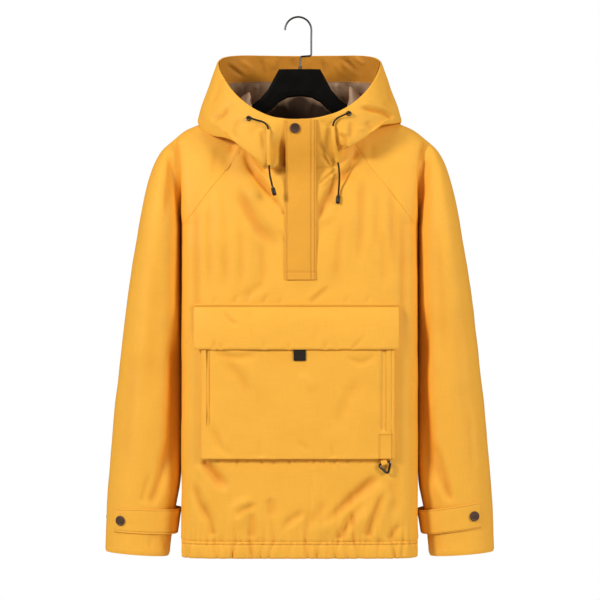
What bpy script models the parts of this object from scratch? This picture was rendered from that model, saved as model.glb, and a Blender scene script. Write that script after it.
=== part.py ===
"""Hooded raglan anorak on a broad hanger, every cut piece its own closed cloth wall.

The body is a rounded form under a shoulder line, read from body_depth(). Each
sleeve is a row of rings that leave the raglan seam, cross the crease beside the
body and turn about the armpit into a hanging tube. Each hood half is a row of
rings from the neck seam, out over the shoulder, round a fold and up to the face
rim. What is sewn on a panel takes that panel's points, moved out.

Metres, +Z up, front towards -Y. Left and right are as seen from the front.
The origin is the inner top of the hanger's hook. All pieces hang under an empty
on the garment's centre line, and the sizes below are measured from that line.
"""
import math
from collections import namedtuple

import bmesh
import bpy
import numpy as np
from mathutils import Matrix, Vector

# ---------------------------------------------------------------- driving sizes
CENTRE_X = 0.0023            # garment centre line, from the middle of the hook
CLOTH = 0.0015               # shell cloth
LINING = 0.0010              # hood facing and lining
SEAM = 0.00025               # each piece stops this far short of its seam
REST = 0.0004                # gap under a piece that lies on another

LEFT, RIGHT = -1, 1
FRONT, BACK = -1, 1

# body
SIDE_X = 0.1955              # half width at the side seams
UNDERARM_Z = -0.360          # where side seam and raglan seams meet
CREASE_FOOT_Z = -0.345       # lower end of the crease between sleeve and body
CREASE_TOP_Z = -0.2023
HEM_TOP_Z = -0.8660
HEM_Z = -0.8940
SHOULDER_RADIUS = 0.026      # half thickness of the shoulder over the hanger arm
SHOULDER_ROUND = 0.018       # height over which the shoulder rounds down
FOLD_FULL_DEPTH = 0.05       # folds have their full height where the body is this deep
CHEST_DROP = 0.22            # height over which the body swells to its full depth
SIDE_ROUNDNESS = 5.5         # exponent of the body's section
CREASE_DEPTH = 0.034         # half opening of the sleeve at the crease

ShoulderRow = namedtuple("ShoulderRow", "x z")
SHOULDER = [
    ShoulderRow(0.000, -0.1180), ShoulderRow(0.060, -0.1340), ShoulderRow(0.083, -0.1430),
    ShoulderRow(0.125, -0.1630), ShoulderRow(0.173, -0.1800), ShoulderRow(0.190, -0.1880),
    ShoulderRow(0.208, -0.2023), ShoulderRow(0.233, -0.2247),
]
BodyRow = namedtuple("BodyRow", "z front back")
BODY = [
    BodyRow(-0.894, 0.078, 0.074), BodyRow(-0.840, 0.082, 0.078), BodyRow(-0.700, 0.088, 0.082),
    BodyRow(-0.500, 0.088, 0.082), BodyRow(-0.300, 0.084, 0.080), BodyRow(-0.150, 0.084, 0.078),
]
CreaseRow = namedtuple("CreaseRow", "z x")
CREASE = [
    CreaseRow(-0.345, 0.1955), CreaseRow(-0.285, 0.1960), CreaseRow(-0.250, 0.1977),
    CreaseRow(-0.220, 0.2020), CreaseRow(CREASE_TOP_Z, 0.2080), CreaseRow(-0.170, 0.2160),
]
# large soft folds of the body: a ridge (+) or trough (-) from one end to the other
Fold = namedtuple("Fold", "side x_top z_top x_foot z_foot half_width height")
FOLDS = [
    Fold(FRONT, -0.116, -0.190, -0.122, -0.285, 0.013, -0.0045),
    Fold(FRONT, -0.088, -0.205, -0.040, -0.320, 0.013, -0.0055),
    Fold(FRONT, -0.070, -0.280, -0.030, -0.450, 0.020, -0.0040),
    Fold(FRONT, 0.098, -0.195, 0.078, -0.300, 0.014, -0.0050),
    Fold(FRONT, 0.074, -0.235, 0.030, -0.420, 0.017, -0.0055),
    Fold(FRONT, -0.160, -0.735, -0.130, -0.800, 0.013, -0.0045),
    Fold(FRONT, 0.140, -0.755, 0.030, -0.862, 0.017, 0.0045),
    Fold(FRONT, 0.080, -0.735, 0.005, -0.840, 0.015, -0.0035),
    Fold(FRONT, -0.070, -0.750, -0.125, -0.862, 0.017, 0.0035),
    Fold(BACK, -0.070, -0.320, -0.110, -0.640, 0.024, -0.0060),
    Fold(BACK, 0.080, -0.320, 0.125, -0.660, 0.024, -0.0065),
    Fold(BACK, 0.010, -0.380, -0.020, -0.800, 0.028, 0.0060),
    Fold(BACK, 0.070, -0.600, 0.020, -0.862, 0.020, -0.0045),
    Fold(BACK, -0.120, -0.580, -0.080, -0.862, 0.020, 0.0045),
]

# neck and raglan seams
NECK_HALF_WIDTH = 0.0815
NECK_FRONT_Z = -0.2555
NECK_BACK_Z = -0.1650
NECK_SQUARENESS = {FRONT: 4.5, BACK: 2.6}
RAGLAN_NECK_ANGLE = {FRONT: math.radians(60.0), BACK: math.radians(118.0)}
SeamRow = namedtuple("SeamRow", "x z")
RAGLAN = {
    FRONT: [SeamRow(0.0940, -0.2183), SeamRow(0.1145, -0.2495), SeamRow(0.1368, -0.2769),
            SeamRow(0.1580, -0.3040), SeamRow(0.1790, -0.3320), SeamRow(0.1925, -0.3500),
            SeamRow(SIDE_X, UNDERARM_Z)],
    BACK: [SeamRow(0.1000, -0.1950), SeamRow(0.1300, -0.2400), SeamRow(0.1580, -0.2850),
           SeamRow(0.1810, -0.3250), SeamRow(0.1925, -0.3480), SeamRow(SIDE_X, UNDERARM_Z)],
}

# sleeve: rings that turn about the armpit, then the hanging tube
FanRow = namedtuple("FanRow", "outer_x outer_z inner_x inner_z front back power")
FAN = [
    FanRow(0.2150, -0.2080, 0.1956, -0.3472, 0.040, 0.040, 0.75),
    FanRow(0.2265, -0.2185, 0.1957, -0.3496, 0.052, 0.052, 0.65),
    FanRow(0.2390, -0.2380, 0.1958, -0.3522, 0.063, 0.062, 0.58),
    FanRow(0.2500, -0.2680, 0.1959, -0.3552, 0.071, 0.070, 0.53),
    FanRow(0.2590, -0.3050, 0.1960, -0.3590, 0.076, 0.075, 0.50),
    FanRow(0.2665, -0.3430, 0.1962, -0.3640, 0.079, 0.078, 0.48),
]
TubeRow = namedtuple("TubeRow", "z outer_x inner_x front back drop")
TUBE = [
    TubeRow(-0.385, 0.2735, 0.1962, 0.0800, 0.0790, 0.000),
    TubeRow(-0.470, 0.2867, 0.1962, 0.0780, 0.0780, 0.000),
    TubeRow(-0.570, 0.2985, 0.1962, 0.0740, 0.0750, 0.000),
    TubeRow(-0.670, 0.3092, 0.1963, 0.0690, 0.0700, 0.000),
    TubeRow(-0.735, 0.3152, 0.1968, 0.0640, 0.0660, 0.000),
    TubeRow(-0.775, 0.3182, 0.1990, 0.0605, 0.0625, 0.001),
    TubeRow(-0.810, 0.3205, 0.2055, 0.0560, 0.0580, 0.002),
    TubeRow(-0.850, 0.3222, 0.2120, 0.0520, 0.0540, 0.004),
    TubeRow(-0.8865, 0.3235, 0.2162, 0.0500, 0.0520, 0.008),
]
TUBE_POWER = 0.46
# the sleeve's wall is parted at these rings, so that each stretch collides close to its own form
SleevePart = namedtuple("SleevePart", "word start end")

# hood: rings from the neck seam to the face rim; reach is the way along the cloth, sag lets the
# fold hang lower between its side and its front, and back_round keeps the back level to its corners
HoodRing = namedtuple(
    "HoodRing",
    "reach half_width front_y back_y left_z right_z side_z back_z left_power right_power left_sag right_sag "
    "back_round")
HOOD = [
    HoodRing(0.050, 0.1200, 0.090, 0.080, -0.280, -0.255, -0.1535, -0.228, 4.0, 3.2, 0.000, 0.000, 0.0),
    HoodRing(0.104, 0.1690, 0.098, 0.104, -0.288, -0.258, -0.1738, -0.300, 9.0, 5.0, 0.024, 0.005, 0.0),
    HoodRing(0.126, 0.1660, 0.104, 0.116, -0.262, -0.244, -0.1600, -0.280, 3.8, 3.2, 0.005, 0.001, 0.0),
    HoodRing(0.166, 0.1545, 0.107, 0.086, -0.222, -0.212, -0.1250, -0.118, 2.0, 2.0, 0.000, 0.000, 0.2),
    HoodRing(0.196, 0.1450, 0.104, 0.071, -0.196, -0.190, -0.0970, -0.083, 1.7, 1.7, 0.000, 0.000, 0.6),
    HoodRing(0.222, 0.1365, 0.098, 0.060, -0.1765, -0.1755, -0.0750, -0.0567, 1.6, 1.6, 0.000, 0.000, 1.0),
]
HOOD_PLAN_POWER = 2.25
HOOD_SAG_POWER = 1.6         # the sag is deepest where the share of the depth to this power is a half
SEAT = 1.2 * (CLOTH + REST)  # the hood starts this far out and up from the neck seam
UNDERLAY_RISE = 0.0022       # how far the hood arches over the shoulder beside the neck seam
FRONT_BULGE = 0.0060         # how far its flat front swells between the neck seam and the rim
LINING_GAP = 3 * REST        # between the hood's cloth and its lining
LINING_FOLLOWS, LINING_FREE = math.radians(24.0), math.radians(40.0)
# beside the placket the hood lies flat out to the first place, and past the second it folds
FLAT_STRIP = {LEFT: (0.028, 0.044), RIGHT: (0.047, 0.065)}

# placket, pocket and flap
PLACKET_X = (-0.0222, 0.0262)
PLACKET_Z = (-0.4375, -0.1760)
PLACKET_THICK = 0.0022
PLACKET_HEIGHTS = 40         # heights at which the cloth under the placket is measured
PLACKET_EASINGS = 8          # times the hollows between them are filled in
POCKET_X = (-0.1606, 0.1554)
POCKET_Z = (-0.7292, -0.5150)
POCKET_STAND = 0.0090
POCKET_MID_Z = -0.7070       # a row between the slit's foot and the pocket's
POCKET_CORNER = 0.0300       # length of the bellows turned at each lower corner
CLOSEST_COLUMN = 0.0040      # panel columns nearer than this to a piece's edge are left out
SLIT_X = (-0.1520, -0.1485)
SLIT_FOOT_Z = -0.6754
GROOVE_X = (0.1318, 0.1419)
GROOVE_FOOT_Z = -0.6852
FLAP_X = (-0.1723, 0.1618)
FLAP_THICK = 0.0022
FLAP_STAND = 0.0140
FLAP_ROWS_Z = [-0.4775, -0.4830, -0.4950, -0.5120, -0.5300, -0.5510]
FLAP_SEWN = 0.0040           # height of the strip that is stitched flat
FLAP_SWING = 0.0360          # height over which the flap comes out to its full stand
TAB_X = (-0.0098, 0.0101)
TAB_Z = (-0.5690, -0.5400)
TAB_THICK = 0.0016

# hem casing
GATHERS = 70
GATHER_PATTERN = [0.9, 0.1, -1.0]
GATHER_HEIGHT = 0.0021
GATHER_INSET = 0.0005        # the gathers' middle lies this far inside the body's surface
HEM_THICK = 0.0020

# cuff straps: top edge and height at the outer and the inner side of the sleeve, and the angles
# round it where the strap starts and where its snap sits
StrapRow = namedtuple("StrapRow", "side outer_top inner_top outer_height inner_height start snap")
STRAPS = [
    StrapRow(LEFT, -0.8130, -0.8159, 0.0383, 0.0418, math.radians(45.0), math.radians(60.0)),
    StrapRow(RIGHT, -0.7987, -0.8184, 0.0430, 0.0395, math.radians(54.0), math.radians(67.5)),
]
STRAP_END = math.radians(330.0)
STRAP_LIFT = 0.0028
STRAP_SLACK = 0.0070
STRAP_SLACK_SPREAD = 0.75    # half angle of the slack part, in radians
STRAP_FORM = 0.041           # the strap's lower edge takes the sleeve's form this far below its upper one
SLEEVE_SNAP_ANGLE = math.radians(-16.0)

SNAP_RADIUS = 0.0083
SNAP_THICK = 0.0028
SMALL_SNAP_RADIUS = 0.0050
EYELET_RADIUS = 0.0046
EYELET_WIRE = 0.0010
EYELET_STEPS, EYELET_SIDES = 12, 5
EYELET_PLACE = {LEFT: (-0.0826, -0.1745), RIGHT: (0.0800, -0.1667)}
PLACKET_SNAP_PLACE = (-0.0075, -0.1910)

# drawcords: out of the eyelet, over the hood, down its tunnel and free to the tip
CORD_RADIUS = 0.0015
CORD_STEPS = 19
CORD_ROUTE = {
    LEFT: [
        (-0.0829, -0.0911, -0.1742), (-0.0836, -0.0940, -0.1736), (-0.0815, -0.0970, -0.1738),
        (-0.0765, -0.0986, -0.1755), (-0.0690, -0.0984, -0.1778), (-0.0614, -0.0990, -0.1800),
        (-0.0552, -0.1010, -0.1838), (-0.0516, -0.1028, -0.1895), (-0.0508, -0.1040, -0.1965),
        (-0.0506, -0.1057, -0.2085), (-0.0504, -0.1063, -0.2225), (-0.0500, -0.1048, -0.2375),
        (-0.0496, -0.1028, -0.2480), (-0.0492, -0.1014, -0.2570), (-0.0482, -0.1007, -0.2670),
        (-0.0462, -0.1003, -0.2770), (-0.0438, -0.1000, -0.2865),
    ],
    RIGHT: [
        (0.0803, -0.0908, -0.1663), (0.0808, -0.0936, -0.1655), (0.0790, -0.0967, -0.1662),
        (0.0745, -0.0982, -0.1682), (0.0680, -0.0982, -0.1712), (0.0620, -0.0984, -0.1742),
        (0.0575, -0.0984, -0.1785), (0.0548, -0.0982, -0.1840), (0.0543, -0.0978, -0.1900),
        (0.0548, -0.0974, -0.2010), (0.0558, -0.0950, -0.2140), (0.0582, -0.0893, -0.2270),
        (0.0612, -0.0820, -0.2380), (0.0632, -0.0778, -0.2475), (0.0645, -0.0762, -0.2570),
        (0.0651, -0.0766, -0.2680), (0.0647, -0.0776, -0.2790), (0.0640, -0.0787, -0.2895),
        (0.0633, -0.0798, -0.2987),
    ],
}
TUNNEL_Z = {LEFT: (-0.1935, -0.2510), RIGHT: (-0.1875, -0.2450)}
TUNNEL_STEPS = 6
TUNNEL_WALL = 0.0010
TunnelRow = namedtuple("TunnelRow", "across out")
TUNNEL_ARCH = [TunnelRow(-0.0037, -0.0016), TunnelRow(-0.0034, 0.0008), TunnelRow(-0.0020, 0.0027),
               TunnelRow(0.0020, 0.0027), TunnelRow(0.0034, 0.0008), TunnelRow(0.0037, -0.0016)]
TipRow = namedtuple("TipRow", "reach radius")
TIP = [TipRow(0.0000, 0.0022), TipRow(0.0022, 0.0034), TipRow(0.0118, 0.0034), TipRow(0.0140, 0.0024)]
TIP_SIDES = 10

# ring and its loop
RING_WIRE = 0.0020
RING_BAR = 0.0220
RING_HEIGHT = 0.0188
RING_CORNER = 0.0026
RING_TILT = math.radians(18.0)
RING_PLACE = (0.1382, -0.7362)
LOOP_WIDTH = 0.0100
LOOP_WALL = 0.0010
LOOP_CLEAR = 0.0005
LOOP_TOP = 0.0060
LOOP_HALF_THICK = 0.0014     # half the loop's thickness where its two ends meet
LOOP_AHEAD = 0.0006          # the loop's extra distance from the cloth behind it

# hanger and hook
HangerRow = namedtuple("HangerRow", "x top foot half_depth squareness")
HANGER = [
    HangerRow(0.0000, -0.0852, -0.1307, 0.0075, 0.50), HangerRow(0.0200, -0.0852, -0.1335, 0.0075, 0.50),
    HangerRow(0.0345, -0.0856, -0.1410, 0.0078, 0.50), HangerRow(0.0440, -0.1030, -0.1510, 0.0084, 0.50),
    HangerRow(0.0530, -0.1200, -0.1580, 0.0092, 0.55), HangerRow(0.0660, -0.1350, -0.1645, 0.0100, 0.65),
    HangerRow(0.0850, -0.1490, -0.1740, 0.0115, 0.80), HangerRow(0.1150, -0.1650, -0.1880, 0.0140, 0.90),
    HangerRow(0.1450, -0.1770, -0.2010, 0.0160, 0.95), HangerRow(0.1700, -0.1870, -0.2110, 0.0165, 0.95),
    HangerRow(0.1880, -0.1980, -0.2160, 0.0140, 0.95), HangerRow(0.1940, -0.2040, -0.2130, 0.0090, 0.95),
]
HANGER_SIDES = 10
HOOK_WIRE = 0.0016
HOOK_RADIUS = 0.0220
HOOK_CENTRE_X = -CENTRE_X
HOOK_STEM_X = 0.0195
HOOK_JOG_Z = -0.0635
HOOK_FOOT_X = 0.0010
HANGER_TOP_Z = -0.0852

COLLAR_SIDES = 14
COLLAR_CLEAR, COLLAR_WALL, COLLAR_HEIGHT = 0.0003, 0.0011, 0.0046

# mesh density
BODY_COLUMNS = 22
BODY_ROWS = 11
SEAM_ROWS = 9
NECK_STEPS = 3
RAGLAN_RINGS = 4
TUBE_RINGS = 7
SLEEVE_PARTS = [
    SleevePart("shoulder", 0, RAGLAN_RINGS + 1 + len(FAN)),
    SleevePart("upper", RAGLAN_RINGS + 1 + len(FAN), RAGLAN_RINGS + 4 + len(FAN)),
    SleevePart("lower", RAGLAN_RINGS + 4 + len(FAN), RAGLAN_RINGS + 1 + len(FAN) + TUBE_RINGS),
]
HOOD_STEPS = (7, 4)          # hood columns in front of and behind the raglan seams
HOOD_REACH = [0.000, 0.025, 0.052, 0.080, 0.097, 0.108, 0.124, 0.150, 0.180, 0.201, 0.222]
FACING_ROWS = [8, 9, 10]     # rows of HOOD_REACH under the face rim
LINING_ROWS = [0, 1, 2, 3, 5, 7, 8]     # the lining under the facing
LINING_ACROSS = 4            # the one of them that cuts across the hood's fold

YELLOW = (0.86, 0.45, 0.045)
TAUPE = (0.21, 0.12, 0.065)
BLACK = (0.012, 0.011, 0.010)
BRONZE = (0.060, 0.042, 0.034)
STEEL = (0.10, 0.10, 0.10)


# ---------------------------------------------------------------- curves
def profile(keys, values):
    """A smooth curve through values at keys, held flat past both ends."""
    keys = np.asarray(keys, float)
    values = np.asarray(values, float)
    order = np.argsort(keys)
    keys, values = keys[order], values[order]
    slopes = np.gradient(values, keys, axis=0)

    def read(key):
        key = np.clip(np.asarray(key, float), keys[0], keys[-1])
        index = np.clip(np.searchsorted(keys, key) - 1, 0, len(keys) - 2)
        span = keys[index + 1] - keys[index]
        t = (key - keys[index]) / span
        if values.ndim > 1:
            t, span = t[..., None], span[..., None]
        start, end = values[index], values[index + 1]
        rise = slopes[index] * span * t * (1 - t) ** 2 - slopes[index + 1] * span * t * t * (1 - t)
        return start + (end - start) * t * t * (3 - 2 * t) + rise
    return read


def table(rows, key, *columns):
    """A profile through the named columns of a table."""
    keys = [getattr(row, key) for row in rows]
    values = [[getattr(row, column) for column in columns] for row in rows]
    if len(columns) == 1:
        values = [value[0] for value in values]
    return profile(keys, values)


def ease(t):
    """A smooth step from 0 to 1."""
    t = np.clip(t, 0.0, 1.0)
    return t * t * (3 - 2 * t)


def evenly(points, count):
    """count + 1 points at even distances along a polyline."""
    points = np.asarray(points, float)
    steps = np.linalg.norm(np.diff(points, axis=0), axis=1)
    reach = np.concatenate([[0.0], np.cumsum(steps)])
    wanted = np.linspace(0.0, reach[-1], count + 1)
    return np.stack([np.interp(wanted, reach, points[:, axis]) for axis in range(points.shape[1])], axis=1)


shoulder_z = table(SHOULDER, "x", "z")
body_rows = table(BODY, "z", "front", "back")
crease_x = table(CREASE, "z", "x")


# ---------------------------------------------------------------- the body's form
def fold_height(side, x, z):
    """Sum of the soft folds at a place of the front or the back."""
    total = np.zeros(np.broadcast(x, z).shape)
    for fold in FOLDS:
        if fold.side != side:
            continue
        along = np.array([fold.x_foot - fold.x_top, fold.z_foot - fold.z_top])
        length = np.linalg.norm(along)
        along = along / length
        t = ((x - fold.x_top) * along[0] + (z - fold.z_top) * along[1]) / length
        across = (x - fold.x_top) * along[1] - (z - fold.z_top) * along[0]
        fade = ease(t / 0.3) * ease((1 - t) / 0.4)
        total = total + fold.height * fade * np.exp(-(across / fold.half_width) ** 2)
    return total


def body_depth(x, z, side):
    """How far the body stands out from the shoulder's plane at a place, without its sign."""
    x = np.abs(np.asarray(x, float))
    z = np.asarray(z, float)
    drop = np.maximum(shoulder_z(x) - z, 0.0)
    full = body_rows(z)[..., 0 if side == FRONT else 1]
    rounding = 1 - np.minimum(drop / SHOULDER_ROUND, 1.0)
    swell = np.sin(math.pi / 2 * np.minimum(drop / CHEST_DROP, 1.0))
    depth = SHOULDER_RADIUS * np.sqrt(1 - rounding ** 2) + (full - SHOULDER_RADIUS) * swell
    t = np.clip((CREASE_TOP_Z - z) / (CREASE_TOP_Z - CREASE_FOOT_Z), 0.0, 1.0)
    opening = CREASE_DEPTH * (4 * t * (1 - t)) ** 0.8
    edge = np.clip(x / crease_x(z), 0.0, 1.0)
    share = (1 - edge ** SIDE_ROUNDNESS) ** (1 / SIDE_ROUNDNESS)
    return opening + np.maximum(depth - opening, 0.0) * share


def body_point(x, z, side, lift=0.0):
    """A point of the body's outer surface, moved out by lift."""
    x, z = np.broadcast_arrays(np.asarray(x, float), np.asarray(z, float))
    depth = body_depth(x, z, side)
    depth = depth + fold_height(side, x, z) * ease(depth / FOLD_FULL_DEPTH) + lift
    return np.stack([x, side * depth, z], axis=-1)


def neck_z(x, side):
    """Height of the neck seam over a place across the body."""
    foot, power = (NECK_FRONT_Z, NECK_BACK_Z)[side == BACK], NECK_SQUARENESS[side]
    top = shoulder_z(NECK_HALF_WIDTH)
    share = np.clip(np.abs(x) / NECK_HALF_WIDTH, 0, 1)
    return top + (foot - top) * (1 - share ** power) ** (1 / power)


def neck_arc(side):
    """Places across the body at even steps along half the neck seam, from its middle."""
    turns = np.linspace(0, math.pi / 2, 600)
    x = NECK_HALF_WIDTH * np.sin(turns) ** (2 / NECK_SQUARENESS[side])
    return evenly(np.stack([x, neck_z(x, side)], axis=1), 200)


def neck_point(angle):
    """A point of the neck seam, evenly along it; 0 is the centre front, pi the centre back."""
    angle = np.asarray(angle, float)
    turn = np.abs(angle)
    points = []
    for side, share in ((FRONT, 2 * turn / math.pi), (BACK, 2 - 2 * turn / math.pi)):
        place = np.clip(share, 0, 1) * 200
        arc = NECK_ARC[side]
        x = np.interp(place, np.arange(201), arc[:, 0])
        z = np.interp(place, np.arange(201), arc[:, 1])
        points.append(body_point(np.sign(angle) * x, z, side))
    return np.where((turn <= math.pi / 2)[..., None], *points)


NECK_ARC = {side: neck_arc(side) for side in (FRONT, BACK)}


def raglan_seam(side, hand):
    """One seam from the neck to the underarm, at even steps."""
    top = neck_point(RAGLAN_NECK_ANGLE[side])
    rows = RAGLAN[side]
    xs = [top[0]] + [row.x for row in rows]
    zs = [top[2]] + [row.z for row in rows]
    curve = profile(np.arange(len(xs)), np.stack([xs, zs], axis=1))
    dense = curve(np.linspace(0, len(xs) - 1, 400))
    points = body_point(hand * np.minimum(dense[:, 0], SIDE_X), dense[:, 1], side)
    points[-1] = (hand * SIDE_X, 0.0, UNDERARM_Z)
    return evenly(points, SEAM_ROWS)


# ---------------------------------------------------------------- objects
def material(name, colour, roughness=0.75, metallic=0.0):
    """A plain finish for one object."""
    made = bpy.data.materials.new(name)
    made.use_nodes = True
    shader = made.node_tree.nodes["Principled BSDF"]
    shader.inputs["Base Color"].default_value = (*colour, 1.0)
    shader.inputs["Roughness"].default_value = roughness
    shader.inputs["Metallic"].default_value = metallic
    return made


def place(name, data, colour, roughness=0.75, metallic=0.0):
    """Link an object under the garment's centre line, in its own finish."""
    made = bpy.data.objects.new(name, data)
    bpy.context.collection.objects.link(made)
    made.parent = bpy.data.objects["centre_line"]
    data.materials.append(material(name, colour, roughness, metallic))
    return made


class Cloth:
    """A sheet of points that becomes a closed wall.

    points is rows x columns x 3. A wrapped sheet closes on itself along its
    columns. holes is a set of (row, column) cells that are left open.
    """

    def __init__(self, name, points, thickness=CLOTH, wrap=False, facing=None, holes=(), colour=YELLOW):
        self.name = name
        self.points = np.array(points, float)
        self.thickness = thickness
        self.wrap = wrap
        self.holes = set(holes)
        self.colour = colour
        self.normals = self.outward(facing)

    def outward(self, facing):
        """Unit normals that point away from the sheet's middle, or towards facing."""
        points = self.points
        if self.wrap:
            across = np.roll(points, -1, axis=1) - np.roll(points, 1, axis=1)
        else:
            across = np.gradient(points, axis=1)
        down = np.gradient(points, axis=0)
        normals = np.cross(down, across)
        normals /= np.maximum(np.linalg.norm(normals, axis=2, keepdims=True), 1e-12)
        reference = points - points.mean(axis=(0, 1)) if facing is None else np.asarray(facing, float)
        return normals if np.sum(normals * reference) > 0 else -normals

    def stretch(self, name, start, end):
        """The rows from start to end as a sheet of their own."""
        part = Cloth(name, self.points[start:end + 1], self.thickness, self.wrap, colour=self.colour)
        part.normals = self.normals[start:end + 1].copy()
        return part

    def inset(self, **edges):
        """Draw edges back into the sheet: top, bottom, left or right, by a distance."""
        ends = {"top": (0, 0, 1), "bottom": (0, -1, -2), "left": (1, 0, 1), "right": (1, -1, -2)}
        for edge, distance in edges.items():
            axis, outer, inner = ends[edge]
            points = np.moveaxis(self.points, axis, 0)
            along = np.gradient(points[outer], axis=0)
            along /= np.maximum(np.linalg.norm(along, axis=1, keepdims=True), 1e-9)
            way = points[inner] - points[outer]
            way -= along * np.sum(way * along, axis=1, keepdims=True)
            length = np.maximum(np.linalg.norm(way, axis=1, keepdims=True), 1e-9)
            points[outer] += way / length * distance
        return self

    def build(self):
        """Make the wall: outer sheet, inner sheet and the rims between them."""
        rows, columns = self.points.shape[:2]
        inner = self.points - self.normals * self.thickness
        span = columns if self.wrap else columns - 1
        cells = {(row, column) for row in range(rows - 1) for column in range(span)} - self.holes
        mesh = bmesh.new()
        skins = [{}, {}]

        def vertex(skin, row, column):
            key = (row, column % columns)
            if key not in skins[skin]:
                source = inner if skin else self.points
                skins[skin][key] = mesh.verts.new(source[key])
            return skins[skin][key]

        for row, column in sorted(cells):
            corners = [(row, column), (row + 1, column), (row + 1, column + 1), (row, column + 1)]
            split = [(0, 1, 2), (0, 2, 3)] if column < span / 2 else [(0, 1, 3), (1, 2, 3)]
            for triangle in split:
                mesh.faces.new([vertex(0, *corners[index]) for index in triangle])
                mesh.faces.new([vertex(1, *corners[index]) for index in reversed(triangle)])
            sides = [(0, 1, (row, column - 1)), (1, 2, (row + 1, column)),
                     (2, 3, (row, column + 1)), (3, 0, (row - 1, column))]
            for first, second, beyond in sides:
                if self.wrap:
                    beyond = (beyond[0], beyond[1] % columns)
                if beyond in cells:
                    continue
                start, end = corners[first], corners[second]
                mesh.faces.new([vertex(0, *end), vertex(0, *start), vertex(1, *start), vertex(1, *end)])
        if mesh.calc_volume(signed=True) < 0:
            bmesh.ops.reverse_faces(mesh, faces=mesh.faces[:])
        data = bpy.data.meshes.new(self.name)
        mesh.to_mesh(data)
        mesh.free()
        data.shade_smooth()
        return place(self.name, data, self.colour)


def share_seam_normals(sheets):
    """Give points that several sheets share one common normal."""
    shared = {}
    for sheet in sheets:
        for index in np.ndindex(sheet.points.shape[:2]):
            key = tuple(np.round(sheet.points[index], 6))
            shared.setdefault(key, []).append((sheet, index))
    for places in shared.values():
        if len(places) < 2:
            continue
        total = sum(sheet.normals[index] for sheet, index in places)
        total = total / max(np.linalg.norm(total), 1e-9)
        for sheet, index in places:
            sheet.normals[index] = total


def smooth_mesh(name, mesh, colour, roughness=0.6, metallic=0.0, angle=40.0):
    """Finish a bmesh as a smooth shaded object with sharp edges kept."""
    bmesh.ops.recalc_face_normals(mesh, faces=mesh.faces[:])
    data = bpy.data.meshes.new(name)
    mesh.to_mesh(data)
    mesh.free()
    data.shade_smooth()
    data.set_sharp_from_angle(angle=math.radians(angle))
    return place(name, data, colour, roughness, metallic)


def frame_at(point, normal):
    """A matrix with its Z along normal, at point."""
    turn = Vector((0, 0, 1)).rotation_difference(Vector(normal)).to_matrix().to_4x4()
    return Matrix.Translation(Vector(point)) @ turn


def snap(name, point, normal, radius):
    """A snap's cap: a low round button with a rounded edge, resting on the cloth."""
    mesh = bmesh.new()
    bmesh.ops.create_cone(mesh, cap_ends=True, segments=14, radius1=radius, radius2=radius, depth=SNAP_THICK)
    rim = [edge for edge in mesh.edges if all(vert.co.z > 0 for vert in edge.verts)]
    bmesh.ops.bevel(mesh, geom=rim, offset=SNAP_THICK * 0.4, segments=2, profile=0.5, affect="EDGES")
    lift = 2 * REST + SNAP_THICK / 2
    mesh.transform(frame_at(Vector(point) + Vector(normal) * lift, normal))
    return smooth_mesh(name, mesh, BRONZE, 0.45, 0.6)


def tube(name, points, radius, colour, cyclic=False, resolution=2):
    """A round wire or cord along a route."""
    curve = bpy.data.curves.new(name, "CURVE")
    curve.dimensions = "3D"
    curve.bevel_depth = radius
    curve.bevel_resolution = resolution
    curve.use_fill_caps = not cyclic
    spline = curve.splines.new("POLY")
    spline.points.add(len(points) - 1)
    for knot, point in zip(spline.points, points):
        knot.co = (*point, 1.0)
    spline.use_cyclic_u = cyclic
    return place(name, curve, colour, 0.5)


# ---------------------------------------------------------------- body panels
def section_columns():
    """Places across a panel, as shares of its half width, at even cloth distances."""
    shares = np.linspace(-1, 1, 801)
    depth = body_depth(shares * SIDE_X, np.full_like(shares, -0.6), FRONT)
    points = evenly(np.stack([shares * SIDE_X, depth], axis=1), BODY_COLUMNS)
    return points[:, 0] / SIDE_X


def body_panel(name, side):
    """Front or back: rows from the neck down between the raglan seams, then to the hem."""
    shares = section_columns()
    left, right = raglan_seam(side, LEFT), raglan_seam(side, RIGHT)
    neck = body_point(shares * right[0][0], neck_z(shares * right[0][0], side), side)
    rows = []
    for index in range(SEAM_ROWS + 1):
        level = (index / SEAM_ROWS) ** 1.15
        z = neck[:, 2] + (UNDERARM_Z - neck[:, 2]) * level
        z = z + (right[index][2] - z[-1]) * np.abs(shares) ** 8
        row = body_point(shares * right[index][0], z, side)
        row[0], row[-1] = left[index], right[index]
        rows.append(row)
    for z in np.linspace(UNDERARM_Z, HEM_TOP_Z, BODY_ROWS + 1)[1:]:
        row = body_point(shares * SIDE_X, z, side)
        row[0][1] = row[-1][1] = 0.0
        rows.append(row)
    return Cloth(name, rows, facing=(0, side, 0))


# ---------------------------------------------------------------- sleeves
def ring_shares(count):
    """Places round half a ring, from its outer or top end (0) to its inner end (1)."""
    return (1 - np.cos(np.linspace(0, math.pi, count + 1))) / 2


def raglan_ring_start(side, hand):
    """Half of the sleeve's first ring: along the neck seam, then down the raglan seam."""
    angles = hand * np.linspace(math.pi / 2, RAGLAN_NECK_ANGLE[side], NECK_STEPS + 1)[:-1]
    neck = neck_point(angles)
    neck[0] = (hand * NECK_HALF_WIDTH, 0.0, shoulder_z(NECK_HALF_WIDTH))
    return np.concatenate([neck, raglan_seam(side, hand)])


def crease_half(side, hand):
    """Half of the ring at the crease, from the shoulder's tip to the armpit."""
    t = ring_shares(NECK_STEPS + SEAM_ROWS)
    z = CREASE_TOP_Z + (CREASE_FOOT_Z - CREASE_TOP_Z) * t
    return np.stack([hand * crease_x(z), side * CREASE_DEPTH * (4 * t * (1 - t)) ** 0.8, z], axis=1)


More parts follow.
